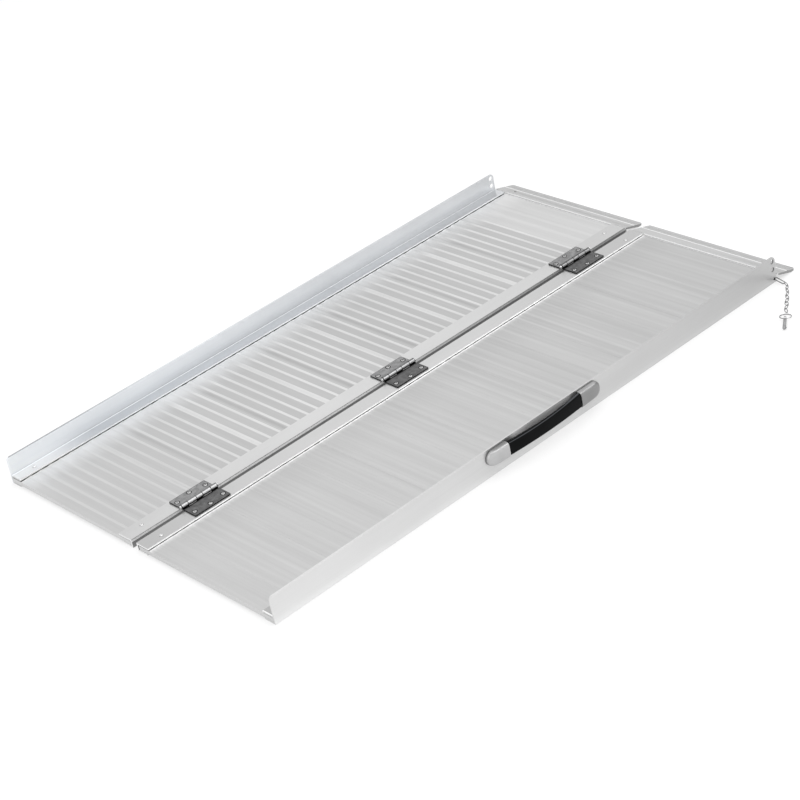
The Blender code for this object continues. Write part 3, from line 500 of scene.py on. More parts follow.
def rubber(name):
    n = Nodes(name)
    grain = n.noise(2600.0, (1, 1, 1), 2, 0.5)
    cloud = n.noise(45.0, (1, 1, 1), 3)
    dust = n.noise(700.0, (0.4, 1, 1), 2, 0.6)
    colour = n.mix(n.ramp(cloud, 0.3, 0.7), (0.0018, 0.0020, 0.0022), (0.0032, 0.0036, 0.0039))
    colour = n.mix(n.ramp(dust, 0.68, 0.85, 0.0, 0.12), colour, (0.015, 0.016, 0.017))
    n.shader.inputs["Specular IOR Level"].default_value = 0.05
    # A faint painted highlight along the upper outer edge.
    normal = n.add("ShaderNodeTexCoord").outputs["Normal"]
    highlight_dot = n.add("ShaderNodeVectorMath", operation="DOT_PRODUCT")
    n.link(normal, highlight_dot.inputs[0])
    # The painted highlight runs from the outer shoulder over to the inner edge along the grip.
    x = n.math("ADD", n.math("MULTIPLY", n.axis(0), 1000.0), OX - HANDLE_X)
    turn = n.ramp(x, -85.0, 85.0, 2.7, 1.6, smooth=False)
    aim = n.add("ShaderNodeCombineXYZ")
    n.link(n.math("COSINE", turn), aim.inputs[1])
    n.link(n.math("SINE", turn), aim.inputs[2])
    n.link(aim.outputs[0], highlight_dot.inputs[1])
    shine = n.ramp(highlight_dot.outputs["Value"], 0.95, 0.99)
    colour = n.mix(n.math("MULTIPLY", shine, 0.8), colour, (0.07, 0.073, 0.08))
    rough = n.math("ADD", n.ramp(cloud, 0.3, 0.7, 0.34, 0.44), n.ramp(grain, 0.3, 0.7, -0.03, 0.03))
    return n.out(colour, rough, 0.0, n.bump(grain, 0.10, 0.00012))


def coated_plastic(name):
    n = Nodes(name)
    flake = n.noise(1200.0, (1, 1, 1), 1, 0.5)
    cloud = n.noise(60.0, (1, 1, 1), 3)
    scuff = n.noise(300.0, (0.3, 1, 1), 3, 0.65)
    x, y, z, normal = design(n)
    colour = n.mix(n.ramp(cloud, 0.3, 0.7), (0.45, 0.45, 0.452), (0.49, 0.49, 0.492))
    colour = n.scale_colour(colour, n.ramp(flake, 0.3, 0.7, 0.985, 1.015))
    # Painted shade: greyer on the flat above the shoulder, round the foot and over the nose.
    top_end = n.ramp(x, HANDLE_X - 60, HANDLE_X + 60)
    shade = n.ramp(n.axis(2, normal), 0.70, 0.93, 1.0, 0.48)
    shade = mixed(n, top_end, shade, n.ramp(n.axis(2, normal), 0.70, 0.93, 0.56, 0.76))
    shade = n.math("MULTIPLY", shade, n.ramp(y, -2.6, -1.2, 1.0, 0.42))
    shade = n.math("MULTIPLY", shade, n.ramp(n.axis(0, normal), 0.35, 0.85, 1.0, 0.62))
    colour = n.scale_colour(colour, shade)
    colour = n.mix(n.ramp(scuff, 0.68, 0.85, 0.0, 0.25), colour, (0.34, 0.34, 0.345))
    rough = n.math("ADD", n.ramp(cloud, 0.3, 0.7, 0.32, 0.38), n.ramp(scuff, 0.6, 0.85, 0.0, 0.12))
    return n.out(colour, rough, 0.85, n.bump(flake, 0.003, 0.0001))


RAIL_NEAR = near_rail("near_rail_metal")
RAIL_FAR = far_rail("far_rail_metal")
STRIP = strip_metal("centre_rail_metal")
LIP_METAL = lip_metal("lip_metal")
DECK_FAR = deck_aluminium("far_deck_metal", True)
DECK_NEAR = deck_aluminium("near_deck_metal", False)
# Painted shade: the near leaves are darker than the far ones.
LEAF_NEAR = leaf_steel("near_leaf_steel", 0.105, 0.15)
LEAF_FAR = leaf_steel("far_leaf_steel", 0.24, 0.33)
RIVET_METAL = head_steel("rivet_metal", 0.74, 0.36, 0.80, 0.95)
SCREW_HEAD = head_steel("screw_head_steel", 0.62, 0.03, 0.80, 0.94)
TETHER_STEEL = steel("tether_steel", (0.42, 0.42, 0.425), (0.26, 0.26, 0.265), 0.14, 0.24)
SCREW_STEEL = steel("screw_steel", (0.62, 0.62, 0.62), (0.48, 0.48, 0.485), 0.20, 0.32)
BRIGHT = steel("bright_steel", (0.72, 0.72, 0.725), (0.58, 0.58, 0.585), 0.14, 0.24)
CHAIN_STEEL = steel("chain_steel", (0.27, 0.27, 0.275), (0.15, 0.15, 0.155), 0.16, 0.28)
STRAP_STEEL = steel("strap_steel", (0.40, 0.41, 0.43), (0.30, 0.31, 0.33), 0.30, 0.42)
GRIP_RUBBER = rubber("grip_rubber_black")
CAP_SILVER = coated_plastic("cap_silver")

# ------------------------------------------------------------ mesh helpers

ALONG_X, ALONG_Y, ALONG_Z = "X", "Y", "Z"


def place(u, v, w, along):
    """An outline point (u, v) at w along the extrusion, in design millimetres."""
    if along == ALONG_X:
        return (w, u, v)
    if along == ALONG_Y:
        return (u, w, v)
    return (u, v, w)


def new_object(name, shape):
    bmesh.ops.recalc_face_normals(shape, faces=shape.faces)
    for vert in shape.verts:
        vert.co = W(*vert.co)
    mesh = bpy.data.meshes.new(name)
    shape.to_mesh(mesh)
    shape.free()
    mesh.shade_smooth()
    made = bpy.data.objects.new(name, mesh)
    scene.collection.objects.link(made)
    return made


def prism_shape(outline, stations, along):
    shape = bmesh.new()
    rings = [[shape.verts.new(place(u, v, w, along)) for u, v in outline] for w in stations]
    for a, b in zip(rings, rings[1:]):
        for i in range(len(outline)):
            j = (i + 1) % len(outline)
            shape.faces.new((a[i], a[j], b[j], b[i]))
    shape.faces.new(rings[0][::-1])
    shape.faces.new(rings[-1])
    return shape


def prism(name, outline, start, end, along):
    return new_object(name, prism_shape(outline, (start, end), along))


def block(name, low, high):
    return prism(name, [(low[0], low[1]), (high[0], low[1]), (high[0], high[1]), (low[0], high[1])], low[2], high[2], ALONG_Z)


def rod(name, radius, start, end, segments=28, end_radius=None):
    shape = bmesh.new()
    start, end = Vector(start), Vector(end)
    turn = (end - start).to_track_quat("Z", "Y").to_matrix().to_4x4()
    bmesh.ops.create_cone(
        shape, cap_ends=True, segments=segments, radius1=radius,
        radius2=radius if end_radius is None else end_radius,
        depth=(end - start).length, matrix=Matrix.Translation((start + end) / 2) @ turn,
    )
    return new_object(name, shape)


def arc(centre, radius, start, end, steps):
    return [
        (
            centre[0] + radius * math.cos(math.radians(start + (end - start) * i / steps)),
            centre[1] + radius * math.sin(math.radians(start + (end - start) * i / steps)),
        )
        for i in range(steps + 1)
    ]


def apply_modifiers(made):
    bpy.context.view_layer.update()
    graph = bpy.context.evaluated_depsgraph_get()
    mesh = bpy.data.meshes.new_from_object(made.evaluated_get(graph))
    made.modifiers.clear()
    old = made.data
    made.data = mesh
    bpy.data.meshes.remove(old)
    mesh.name = made.name
    return made


def combine(target, others, operation="DIFFERENCE"):
    for other in others:
        modifier = target.modifiers.new(operation.lower(), "BOOLEAN")
        modifier.operation = operation
        modifier.object = other
        modifier.solver = "EXACT"
    apply_modifiers(target)
    for other in others:
        mesh = other.data
        bpy.data.objects.remove(other, do_unlink=True)
        bpy.data.meshes.remove(mesh)
    shape = bmesh.new()
    shape.from_mesh(target.data)
    bmesh.ops.dissolve_degenerate(shape, dist=1e-7, edges=shape.edges)
    bmesh.ops.remove_doubles(shape, verts=shape.verts, dist=2e-6)
    shape.to_mesh(target.data)
    shape.free()
    target.data.shade_smooth()
    return target


def round_edges(made, width, segments=2, angle=34):
    bevel = made.modifiers.new("edges", "BEVEL")
    bevel.width = width / 1000
    bevel.segments = segments
    bevel.limit_method = "ANGLE"
    bevel.angle_limit = math.radians(angle)
    bevel.harden_normals = True
    bevel.use_clamp_overlap = True
    bevel.miter_outer = "MITER_ARC"
    return made


def turned(name, profile, steps, point, direction):
    """A profile of (radius, height), from bottom to top, turned about direction."""
    shape = bmesh.new()
    turn = Vector(direction).to_track_quat("Z", "Y")
    base = Vector(point)
    rings = []
    for radius, height in profile:
        if radius < 1e-6:
            rings.append([shape.verts.new(base + turn @ Vector((0, 0, height)))])
            continue
        rings.append([
            shape.verts.new(base + turn @ Vector((
                radius * math.cos(2 * math.pi * i / steps),
                radius * math.sin(2 * math.pi * i / steps),
                height,
            )))
            for i in range(steps)
        ])
    for a, b in zip(rings, rings[1:]):
        for i in range(steps):
            j = (i + 1) % steps
            if len(a) == 1:
                shape.faces.new((a[0], b[i], b[j]))
            elif len(b) == 1:
                shape.faces.new((a[i], b[0], a[j]))
            else:
                shape.faces.new((a[i], a[j], b[j], b[i]))
    made = new_object(name, shape)
    made.data.set_sharp_from_angle(angle=math.radians(38))
    return made


def dress(made, material, body, slot_name, *nodes):
    made.data.materials.clear()
    made.data.materials.append(material)
    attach(made, body)
    if nodes:
        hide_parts(*nodes)
    return made


NEAR, FAR = "near_panel", "far_panel"

# -------------------------------------------------------------- side rails



def side_rail(name, outer, inward, material, body, node, tether):
    def y(distance):
        return outer + inward * distance

    outline = [(y(0), 0), (y(26), 0), (y(26), WALL), (y(WALL), WALL), (y(WALL), FLANGE_UNDER)]
    outline += [(y(28), FLANGE_UNDER), (y(28), FLANGE_TOP)]
    outline += [
        (y(WALL + 1.2 * (1 - math.sin(math.radians(a)))), FLANGE_TOP + 1.2 * (1 - math.cos(math.radians(a))))
        for a in (0, 22.5, 45, 67.5, 90)
    ]
    outline += [(y(WALL), HEIGHT), (y(0), HEIGHT)]
    rail = prism(name, outline, 0, LENGTH, ALONG_X)
    low, high = sorted((y(-1), y(WALL + 1)))
    cutters = []
    for x, side, radius in ((0, 1, 7.0), (LENGTH, -1, 8.5)):
        centre = (x + side * radius, HEIGHT - radius)
        rounding = arc(centre, radius, 180 if side > 0 else 0, 90, 14)
        piece = [(x - side, HEIGHT - radius)] + rounding + [(x + side * radius, HEIGHT + 1), (x - side, HEIGHT + 1)]
        cutters.append(prism("cutter", piece, low, high, ALONG_Y))
    for z in LOCK_SEEN:
        cutters.append(rod("cutter", 4.3 if tether else 4.8, (LOCK_X, low, z), (LOCK_X, high, z), 40))
    if tether:
        cutters.append(rod("cutter", 2.5, (TETHER_HOLE_X, low, TETHER_HOLE_Z), (TETHER_HOLE_X, high, TETHER_HOLE_Z), 28))
        for side in (-1, 1):
            x = HANDLE_X + side * STRAP_SCREW
            cutters.append(rod("cutter", 2.9, (x, low, STRAP_MIDDLE), (x, high, STRAP_MIDDLE), 24))
    combine(rail, cutters)
    round_edges(rail, 0.32)
    return dress(rail, material, body, "rail_aluminium", node)


side_rail("near_side_extrusion", 0.0, 1, RAIL_NEAR, NEAR, "near_side_rail", True)
side_rail("far_side_extrusion", WIDTH, -1, RAIL_FAR, FAR, "far_side_rail", False)

# ------------------------------------------------------------ centre rails

SPREAD = 31.0
NEAR_SCREWS, FAR_SCREWS = (340.5, 336.0), (389.0, 395.6)


def centre_rail(name, edge, inward, strip, rows, body, node):
    def y(distance):
        return edge + inward * distance

    outline = [
        (y(0), 0), (y(26), 0), (y(26), WALL), (y(WALL), WALL), (y(WALL), FLANGE_UNDER),
        (y(strip), FLANGE_UNDER), (y(strip), FLANGE_TOP), (y(0), FLANGE_TOP),
    ]
    rail = prism(name, outline, 0, LENGTH, ALONG_X)
    cutters = []
    for centre in HINGE_CENTRES:
        for k, x in enumerate((centre - SPREAD, centre, centre + SPREAD)):
            cutters.append(rod("cutter", 2.3, (x, rows[k % 2], FLANGE_UNDER - 1), (x, rows[k % 2], FLANGE_TOP + 1), 16))
    combine(rail, cutters)
    round_edges(rail, 0.5)
    return dress(rail, STRIP, body, "rail_aluminium", node)


centre_rail("near_centre_extrusion", 357.4, -1, 32.4, NEAR_SCREWS, NEAR, "near_centre_rail")
centre_rail("far_centre_extrusion", 371.0, 1, 36.0, FAR_SCREWS, FAR, "far_centre_rail")

# ------------------------------------------------------------------ planks

JOINTS = [0.0] + [156.0 + 160.0 * i for i in range(7)] + [LENGTH]
DECK_TOP, RIB_TOP, SHEET, PLANK_BOTTOM = 11.7, 12.4, 2.0, 3.3
RIB_PITCH = 22.06


def smooth(t):
    t = min(1.0, max(0.0, t))
    return t * t * (3 - 2 * t)


def plank(name, start, end, low, high, last, material, body, node):
    width = end - start
    relief = 1.0 if body == FAR else 0.3
    if last:
        ribs = [(6.0 + 24.7 * i, 4.2, 0.2 * relief) for i in range(4)]
        webs = [1.0, 48.0, 76.0]
        grooves = []
    else:
        count = int((width - 2.8) // RIB_PITCH) + 1
        ribs = [(width - 2.8 - RIB_PITCH * i, 3.1, 0.45 * relief) for i in range(count)]
        ribs = [r for r in ribs if r[0] > 2.5][::-1]
        webs = [1.0, width * 0.34, width * 0.66, width - 1.0]
        offset = width - 160.0
        grooves = [offset + g for g in (60.6, 62.4)]
    a0, b0 = 0.07, width + (0.2 if last else -0.07)

    def height(x):
        h = DECK_TOP
        for centre, half, rise in ribs:
            d = abs(x - centre)
            if d < half + 1.2:
                crown = rise * (1 - 0.22 * (d / half) ** 2)
                h = max(h, DECK_TOP + crown * smooth((half + 1.2 - d) / 1.7))
        for centre in grooves:
            d = abs(x - centre)
            if d < 0.45:
                h -= 0.14 * smooth((0.45 - d) / 0.3)
        edge = min(x - a0, b0 - x)
        if edge < 0.16:
            h -= 0.16 - math.sqrt(max(0.0, 0.16**2 - (0.16 - edge) ** 2))
        return h

    def rib_mask(x):
        value = 0.0
        for centre, half, rise in ribs:
            d = abs(x - centre)
            value = max(value, smooth((half + 0.5 - d) / 1.4) * (0.35 if last else 1.0))
        for centre in [g - 8.2 for g in grooves[:1]]:
            value = max(value, 0.35 * smooth((0.9 - abs(x - centre)) / 0.6))
        for centre in grooves:
            if abs(x - centre) < 0.5:
                value = -0.35
        return value

    marks = {a0, b0}
    for edge in (a0, b0):
        sign = 1 if edge == a0 else -1
        marks |= {edge + sign * d for d in (0.05, 0.1, 0.165)}
    for centre, half, _ in ribs:
        marks |= {centre + s * d for s in (-1, 1) for d in (0, half * 0.45, half * 0.8, half - 0.4, half, half + 0.3, half + 0.7, half + 1.2)}
    for centre in grooves:
        marks |= {centre + s * d for s in (-1, 1) for d in (0, 0.15, 0.3, 0.46)}
        marks |= {centre - 8.2 + d for d in (-0.9, -0.3, 0.3, 0.9)}
    marks = sorted(m for m in marks if a0 <= m <= b0)
    xs = [marks[0]]
    for m in marks[1:]:
        if m - xs[-1] > 0.03:
            xs.append(m)
    top = [(start + x, height(x)) for x in xs]
    under = DECK_TOP - SHEET
    bottom = []
    for web in webs:
        a, b = max(web - 0.9, a0), min(web + 0.9, b0)
        if a > a0:
            bottom.append((a, under))
        foot = 4.4 if start == 0 and a == a0 else PLANK_BOTTOM
        bottom += [(a, foot), (b, foot)]
        if b < b0:
            bottom.append((b, under))
    if bottom[-1][0] < b0:
        bottom.append((b0, under))
    outline = [(start + x, z) for x, z in bottom] + top[::-1]
    shape = prism_shape(outline, (low, high), ALONG_Y)
    made = new_object(name, shape)
    values = []
    for vert in made.data.vertices:
        x = vert.co.x * 1000 + OX - start
        z = vert.co.z * 1000
        values.append(rib_mask(x) if z > under + 0.2 else 0.0)
    attribute = made.data.attributes.new("rib", "FLOAT", "POINT")
    attribute.data.foreach_set("value", values)
    made.data.set_sharp_from_angle(angle=math.radians(50))
    return dress(made, material, body, "deck_aluminium", node)


for side, body, material, low, high in (
    ("near", NEAR, DECK_NEAR, WALL + 0.4, 351.6),
    ("far", FAR, DECK_FAR, 374.4, WIDTH - WALL - 0.4),
):
    for number, (start, end) in enumerate(zip(JOINTS, JOINTS[1:]), 1):
        last = number == 8
        node = f"{side}_end_plank" if last else f"{side}_deck_plank_{number}"
        plank(f"{side}_ribbed_plank_{number}", start, end, low + (6.6 if last and side == "near" else 0), high, last, material, body, node)

# -------------------------------------------------------------------- lips


def lip(name, low, high, body, node, near):
    slope = (LIP_TOP - WALL) / (LIP_END - 4 - LIP_START)

    def top(x):
        return max(LIP_TOP - slope * (x - LIP_START), WALL)

    outline = [(LIP_START, PLANK_BOTTOM), (LIP_START + 3, PLANK_BOTTOM), (LIP_START + 3.6, top(LIP_START + 3.6) - WALL - 0.6)]
    outline += [(LIP_END - 12, 0.0), (LIP_END - 0.9, 0.0), (LIP_END - 0.25, 0.3), (LIP_END, 0.9)]
    outline += [(LIP_END, 2.0), (LIP_END - 0.3, 2.6), (LIP_END - 1.0, 2.95), (LIP_END - 4, WALL)]
    for ridge, half, rise in ((28.2, 1.7, 0.8),):
        x = LENGTH + ridge
        for i in range(9):
            d = half * (1 - i / 4)
            outline.append((x + d, top(x + d) + rise * smooth(1 - abs(d) / half) ** 0.7))
    outline += [(LIP_START + 3.4, top(LIP_START + 3.4)), (LIP_START + 2.9, top(LIP_START + 2.9) - 0.4), (LIP_START + 2.8, 12.0), (LIP_START, 12.0)]
    made = prism(name, outline, low, high, ALONG_Y)
    radius = 6.0
    plan = []
    for y, turn in ((low, -90), (high, 0)):
        plan += arc((LIP_END - radius, y + (1 if turn else -1) * radius), radius, turn, turn + 90, 10)
    plan += [(LIP_START - 2, high), (LIP_START - 2, low)]
    combine(made, [prism("keeper", plan, -1, HEIGHT, ALONG_Z)], "INTERSECT")
    tongue = block("tongue", (LENGTH - 19, low + 34, 5.6), (LIP_START + 1.5, high - 40, 9.2))
    combine(made, [tongue], "UNION")
    hole = 40.3 if near else (high - 40)
    cutters = [rod("cutter", 2.6, (LENGTH + 19, hole, -2), (LENGTH + 19, hole, 20), 28)]
    if near:
        cutters.append(block("cutter", (LENGTH - 1, low - 2, -1), (LENGTH + 5.0, 10.0, 12.2)))
    combine(made, cutters)
    round_edges(made, 0.3, 2, 45)
    return dress(made, LIP_METAL, body, "rail_aluminium", node)


lip("near_lip_extrusion", -2.4, 354.3, NEAR, "near_lip", True)
lip("far_lip_extrusion", 371.3, 729.7, FAR, "far_lip", False)

# ------------------------------------------------------------------ hinges


def knuckles(centre):
    x, edges = centre - LEAF / 2, []
    for width in (13.4, 18.4, 13.4, 18.4, 13.4):
        edges.append((x, x + width))
        x += width
    return edges


def leaf(name, centre, edge, which, rows, material, body, node):
    side = 1 if edge > HINGE_Y else -1
    start = HINGE_Y + side * (KNUCKLE + 0.7)
    low, high = sorted((start, edge))
    corner = 1.2
    inner_x, outer_x = centre - LEAF / 2, centre + LEAF / 2
    plan = [(inner_x, start), (outer_x, start)]
    plan += [(outer_x, edge - side * corner), (outer_x - corner * 0.3, edge - side * corner * 0.3), (outer_x - corner, edge)]
    plan += [(inner_x + corner, edge), (inner_x + corner * 0.3, edge - side * corner * 0.3), (inner_x, edge - side * corner)]
    made = prism(name, plan, LEAF_LOW, LEAF_HIGH, ALONG_Z)
    curls = []
    every = knuckles(centre)
    for k in which:
        a, b = every[k]
        a += 0 if k == 0 else 0.18
        b -= 0 if k == 4 else 0.18
        # A strip that leaves the plate at its underside and curls over the pin.
        outer, inner = [], []
        for i in range(31):
            angle = math.radians(270 - 285 * i / 30)
            u, v = math.cos(angle), math.sin(angle)
            outer.append((HINGE_Y + side * KNUCKLE * u, HINGE_Z + KNUCKLE * v))
            inner.append((HINGE_Y + side * 2.75 * u, HINGE_Z + 2.75 * v))
        neck = start + side * 2.0
        outline = [(neck, LEAF_LOW)] + outer + inner[::-1] + [(HINGE_Y + side * 0.6, LEAF_HIGH - 0.05), (neck, LEAF_HIGH)]
        curls.append(prism("curl", outline, a, b, ALONG_X))
    combine(made, curls, "UNION")
    cutters = []
    for k, x in enumerate((centre - SPREAD, centre, centre + SPREAD)):
        at = rows[k % 2]
        cutters.append(rod("cutter", 2.3, (x, at, LEAF_LOW - 1), (x, at, LEAF_HIGH + 1), 24))
        cutters.append(rod("cutter", 2.3, (x, at, LEAF_HIGH - 1.6), (x, at, LEAF_HIGH + 0.9), 32, 7.0))
    combine(made, cutters)
    round_edges(made, 0.28, 2, 40)
    return dress(made, material, body, "hinge_steel", node)


def phillips(name, x, y, body, node):
    """A countersunk screw with a cross recess, its head just proud of the leaf."""
    top = LEAF_HIGH + 0.15
    head = turned(
        name,
        [(0, FLANGE_UNDER + 0.1), (1.6, FLANGE_UNDER + 0.1), (2.0, FLANGE_UNDER + 0.5), (2.0, LEAF_HIGH - 2.0),
         (3.35, top - 0.75), (3.5, top - 0.5), (3.4, top - 0.2), (2.9, top + 0.02), (1.6, top + 0.16), (0, top + 0.2)],
        36, (x, y, 0), (0, 0, 1),
    )
    turn = math.radians((x * 37.0 + y * 11.0) % 90)
    cutters = []
    for k in range(2):
        c, s = math.cos(turn + k * math.pi / 2), math.sin(turn + k * math.pi / 2)
        half, arm = 0.42, 2.25
        plan = [(x + c * u - s * v, y + s * u + c * v) for u, v in ((-arm, -half), (arm, -half), (arm, half), (-arm, half))]
        cutters.append(prism("cutter", plan, top - 0.9, top + 1, ALONG_Z))
    combine(head, cutters)
    head.data.set_sharp_from_angle(angle=math.radians(38))
    return dress(head, SCREW_HEAD, body, "bright_steel", node)


for number, centre in enumerate(HINGE_CENTRES, 1):
    near_leaf = leaf(f"hinge_{number}_near_plate", centre, 328.8, (0, 2, 4), NEAR_SCREWS, LEAF_NEAR, NEAR, f"hinge_{number}_near_leaf")
    far_leaf = leaf(f"hinge_{number}_far_plate", centre, 402.8, (1, 3), FAR_SCREWS, LEAF_FAR, FAR, f"hinge_{number}_far_leaf")
    for k, x in enumerate((centre - SPREAD, centre, centre + SPREAD)):
        phillips(f"hinge_{number}_near_fixing_{k + 1}", x, NEAR_SCREWS[k % 2], NEAR, f"hinge_{number}_near_screw_{k + 1}")
        phillips(f"hinge_{number}_far_fixing_{k + 1}", x, FAR_SCREWS[k % 2], FAR, f"hinge_{number}_far_screw_{k + 1}")
    half = LEAF / 2
    pin = turned(
        f"hinge_{number}_pin_rod",
        [(0, -half - 2.8), (1.5, -half - 2.65), (2.5, -half - 2.2), (3.05, -half - 1.4), (3.1, -half - 0.4),
         (2.4, -half - 0.35), (2.4, half + 0.35), (4.3, half + 0.4), (4.5, half + 0.7), (4.5, half + 1.6),
         (4.1, half + 2.5), (3.0, half + 3.2), (1.6, half + 3.55), (0, half + 3.65)],
        32, (centre, HINGE_Y, HINGE_Z), (1, 0, 0),
    )
    dress(pin, BRIGHT, NEAR, "bright_steel", f"hinge_{number}_pin")

# -------------------------------------------------------------- rail rivets


def rivet(name, x, y, body):
    made = turned(
        name,
        [(0, FLANGE_UNDER + 0.2), (1.9, FLANGE_UNDER + 0.2), (1.9, FLANGE_TOP + 0.02), (3.9, FLANGE_TOP + 0.04), (3.95, FLANGE_TOP + 0.2),
         (3.3, FLANGE_TOP + 0.72), (2.3, FLANGE_TOP + 0.95), (1.45, FLANGE_TOP + 1.02), (1.0, FLANGE_TOP + 0.62), (0, FLANGE_TOP + 0.55)],
        32, (x, y, 0), (0, 0, 1),
    )
    return dress(made, RIVET_METAL, body, "bright_steel")


for name, x, y, body in (
    ("far_outer_bottom", 41, 715.5, FAR),
    ("far_centre_bottom", 38, 393, FAR), ("far_centre_top", 1185, 393, FAR),
    ("near_centre_bottom", 38, 338, NEAR), ("near_centre_top", 1184, 336, NEAR),
    ("near_outer_bottom", 41, 14.5, NEAR),
):
    rivet(f"rivet_{name}", x, y, body)

# ------------------------------------------------------------------ handle

CAP_REACH, CAP_NOSE, CAP_LENGTH, HANDLE_LENGTH = 12.6, 24.0, 51.5, 276.0
CAP_LOW, CAP_HIGH = 19.8, 49.3
GRIP_X = 603.0
GRIP_HALF, GRIP_T, GRIP_LOW, GRIP_HIGH, GRIP_BOW = 86.6, 7.2, 23.0, 49.4, 5.0
# How far the grip's top sinks and its underside rises at mid-length.
TOP_DIP, LOW_RISE = 1.3, 1.0
GRIP_EDGE_Y = -(CAP_REACH - 1.2 - GRIP_T / 2)


def bow(x):
    return GRIP_EDGE_Y - GRIP_BOW * (1 - (x / GRIP_HALF) ** 2)


def grip():
    """A moulded strip with soft edges; a painted highlight runs along its top edge."""
    half_t, half_h = GRIP_T / 2, (GRIP_HIGH - GRIP_LOW) / 2
    middle = (GRIP_HIGH + GRIP_LOW) / 2
    section = []
    for side_u, side_v, corner, start in ((1, 1, 1.6, 0), (-1, 1, 3.0, 90), (-1, -1, 2.2, 180), (1, -1, 1.6, 270)):
        section += arc((side_u * (half_t - corner), side_v * (half_h - corner)), corner, start, start + 90, 8)
    shape = bmesh.new()
    rings = []
    stations = 49
    for i in range(stations):
        s = -1 + 2 * i / (stations - 1)
        x = GRIP_HALF * s
        slope = -2 * -GRIP_BOW * x / GRIP_HALF**2
        normal = Vector((-slope, 1, 0)).normalized()
        # Slightly fuller in the middle of the hand.
        swell = 1 - 0.05 * abs(s) ** 3
        ring = []
        for u, v in section:
            waist = (1 - s * s) * (-TOP_DIP if v > 0 else LOW_RISE)
            at = Vector((GRIP_X + x, bow(x), middle + v + waist)) + normal * u * swell
            ring.append(shape.verts.new(at))
        rings.append(ring)
    for a, b in zip(rings, rings[1:]):
        for i in range(len(section)):
            j = (i + 1) % len(section)
            shape.faces.new((a[i], a[j], b[j], b[i]))
    shape.faces.new(rings[0][::-1])
    shape.faces.new(rings[-1])
    made = new_object("handle_rubber_grip", shape)
    made.data.set_sharp_from_angle(angle=math.radians(40))
    return dress(made, GRIP_RUBBER, NEAR, "grip_rubber", "handle_grip")


grip()


def cap(name, side, node):
    """A bullet-shaped shell: full-round in front view, with a blunt nose in plan."""
    inner, outer = HANDLE_LENGTH / 2 - CAP_LENGTH + 1.2, HANDLE_LENGTH / 2 + (1.4 if side > 0 else -4.8)
    radius = (CAP_HIGH - CAP_LOW) / 2
    middle = (CAP_HIGH + CAP_LOW) / 2
    steps, around = 40, 28
    shape = bmesh.new()
    rings = []
    for i in range(steps + 1):
        t = i / steps
        x = inner + (outer - 0.05 - inner) * (1 - (1 - t) ** 1.6)
        nose = max(0.0, (x - (outer - radius)) / radius)
        half = radius * math.sqrt(max(0.0, 1 - nose**2))
        blunt = max(0.0, (x - (outer + 0.2 - CAP_NOSE)) / CAP_NOSE)
        depth = 0.3 + (CAP_REACH - 0.5) * max(0.0, 1 - blunt**2.3) ** 0.45
        softer = smooth((x - inner) / (outer - inner))
        # A soft crown: the face is fullest at mid height.
        ring = []
        for k in range(around + 1):
            a = math.pi * k / around
            c, s = math.cos(a), math.sin(a)
            power = 0.50 + 0.28 * softer
            v = half * math.copysign(abs(c) ** power, c)
            u = depth * abs(s) ** (0.42 + 0.26 * softer)
            ring.append(shape.verts.new((GRIP_X + side * x, -0.3 - (u - 0.3 if u > 0.3 else 0.0), middle + v)))
        rings.append(ring)
    for a, b in zip(rings, rings[1:]):
        for k in range(around):
            shape.faces.new((a[k], a[k + 1], b[k + 1], b[k]))
        shape.faces.new((a[0], b[0], b[-1], a[-1]))
    shape.faces.new(rings[0][::-1])
    shape.faces.new(rings[-1])
    made = new_object(name, shape)
    bmesh_clean = bmesh.new()
    bmesh_clean.from_mesh(made.data)
    bmesh.ops.remove_doubles(bmesh_clean, verts=bmesh_clean.verts, dist=2e-6)
    bmesh.ops.recalc_face_normals(bmesh_clean, faces=bmesh_clean.faces)
    bmesh_clean.to_mesh(made.data)
    bmesh_clean.free()
    cutters = []
    for first, last, depth, foot, head in ((-1, 19, 9.8, 29.6, 47.4), (17, 31, 7.2, 29.9, 46.8), (29, 35.8, 3.6, 31.0, 46.0)):
        lo, hi = sorted((GRIP_X + side * (inner + first), GRIP_X + side * (inner + last)))
        cutters.append(block("cutter", (lo, -depth, foot), (hi, 1.0, head)))
    combine(made, cutters)
    made.data.set_sharp_from_angle(angle=math.radians(42))
    return dress(made, CAP_SILVER, NEAR, "cap_plastic", node)


def strap():
    """Spring steel inside the grip, led down on to the curb under each cap."""
    def line(x):
        at = abs(x)
        if at <= GRIP_HALF:
            return bow(at)
        t = smooth(min(1.0, (at - GRIP_HALF) / 14.0))
        return bow(GRIP_HALF) * (1 - t) - 1.35 * t

    reach = STRAP_SCREW + 9
    stations = sorted({GRIP_HALF * i / 16 for i in range(-16, 17)} | {s * (GRIP_HALF + 14 * i / 6) for s in (-1, 1) for i in range(1, 7)} | {-reach, reach})
    left, right = [], []
    for x in stations:
        slope = line(x + 0.5) - line(x - 0.5)
        normal = Vector((-slope, 1)).normalized()
        left.append((HANDLE_X + x + normal.x, line(x) + normal.y))
        right.append((HANDLE_X + x - normal.x, line(x) - normal.y))
    made = prism("handle_spring_strap", left + right[::-1], 32.0, 45.0, ALONG_Z)
    cutters = [rod("cutter", 2.7, (HANDLE_X + s * STRAP_SCREW, -6, STRAP_MIDDLE), (HANDLE_X + s * STRAP_SCREW, 2, STRAP_MIDDLE), 24) for s in (-1, 1)]
    combine(made, cutters)
    round_edges(made, 0.25, 2, 40)
    return dress(made, STRAP_STEEL, NEAR, "strap_steel", "handle_strap")


strap()
cap("handle_bottom_cap", -1, "handle_cap_bottom_end")
cap("handle_top_cap", 1, "handle_cap_top_end")

# ------------------------------------------------------------------ tether

LINK_WIRE = 0.9


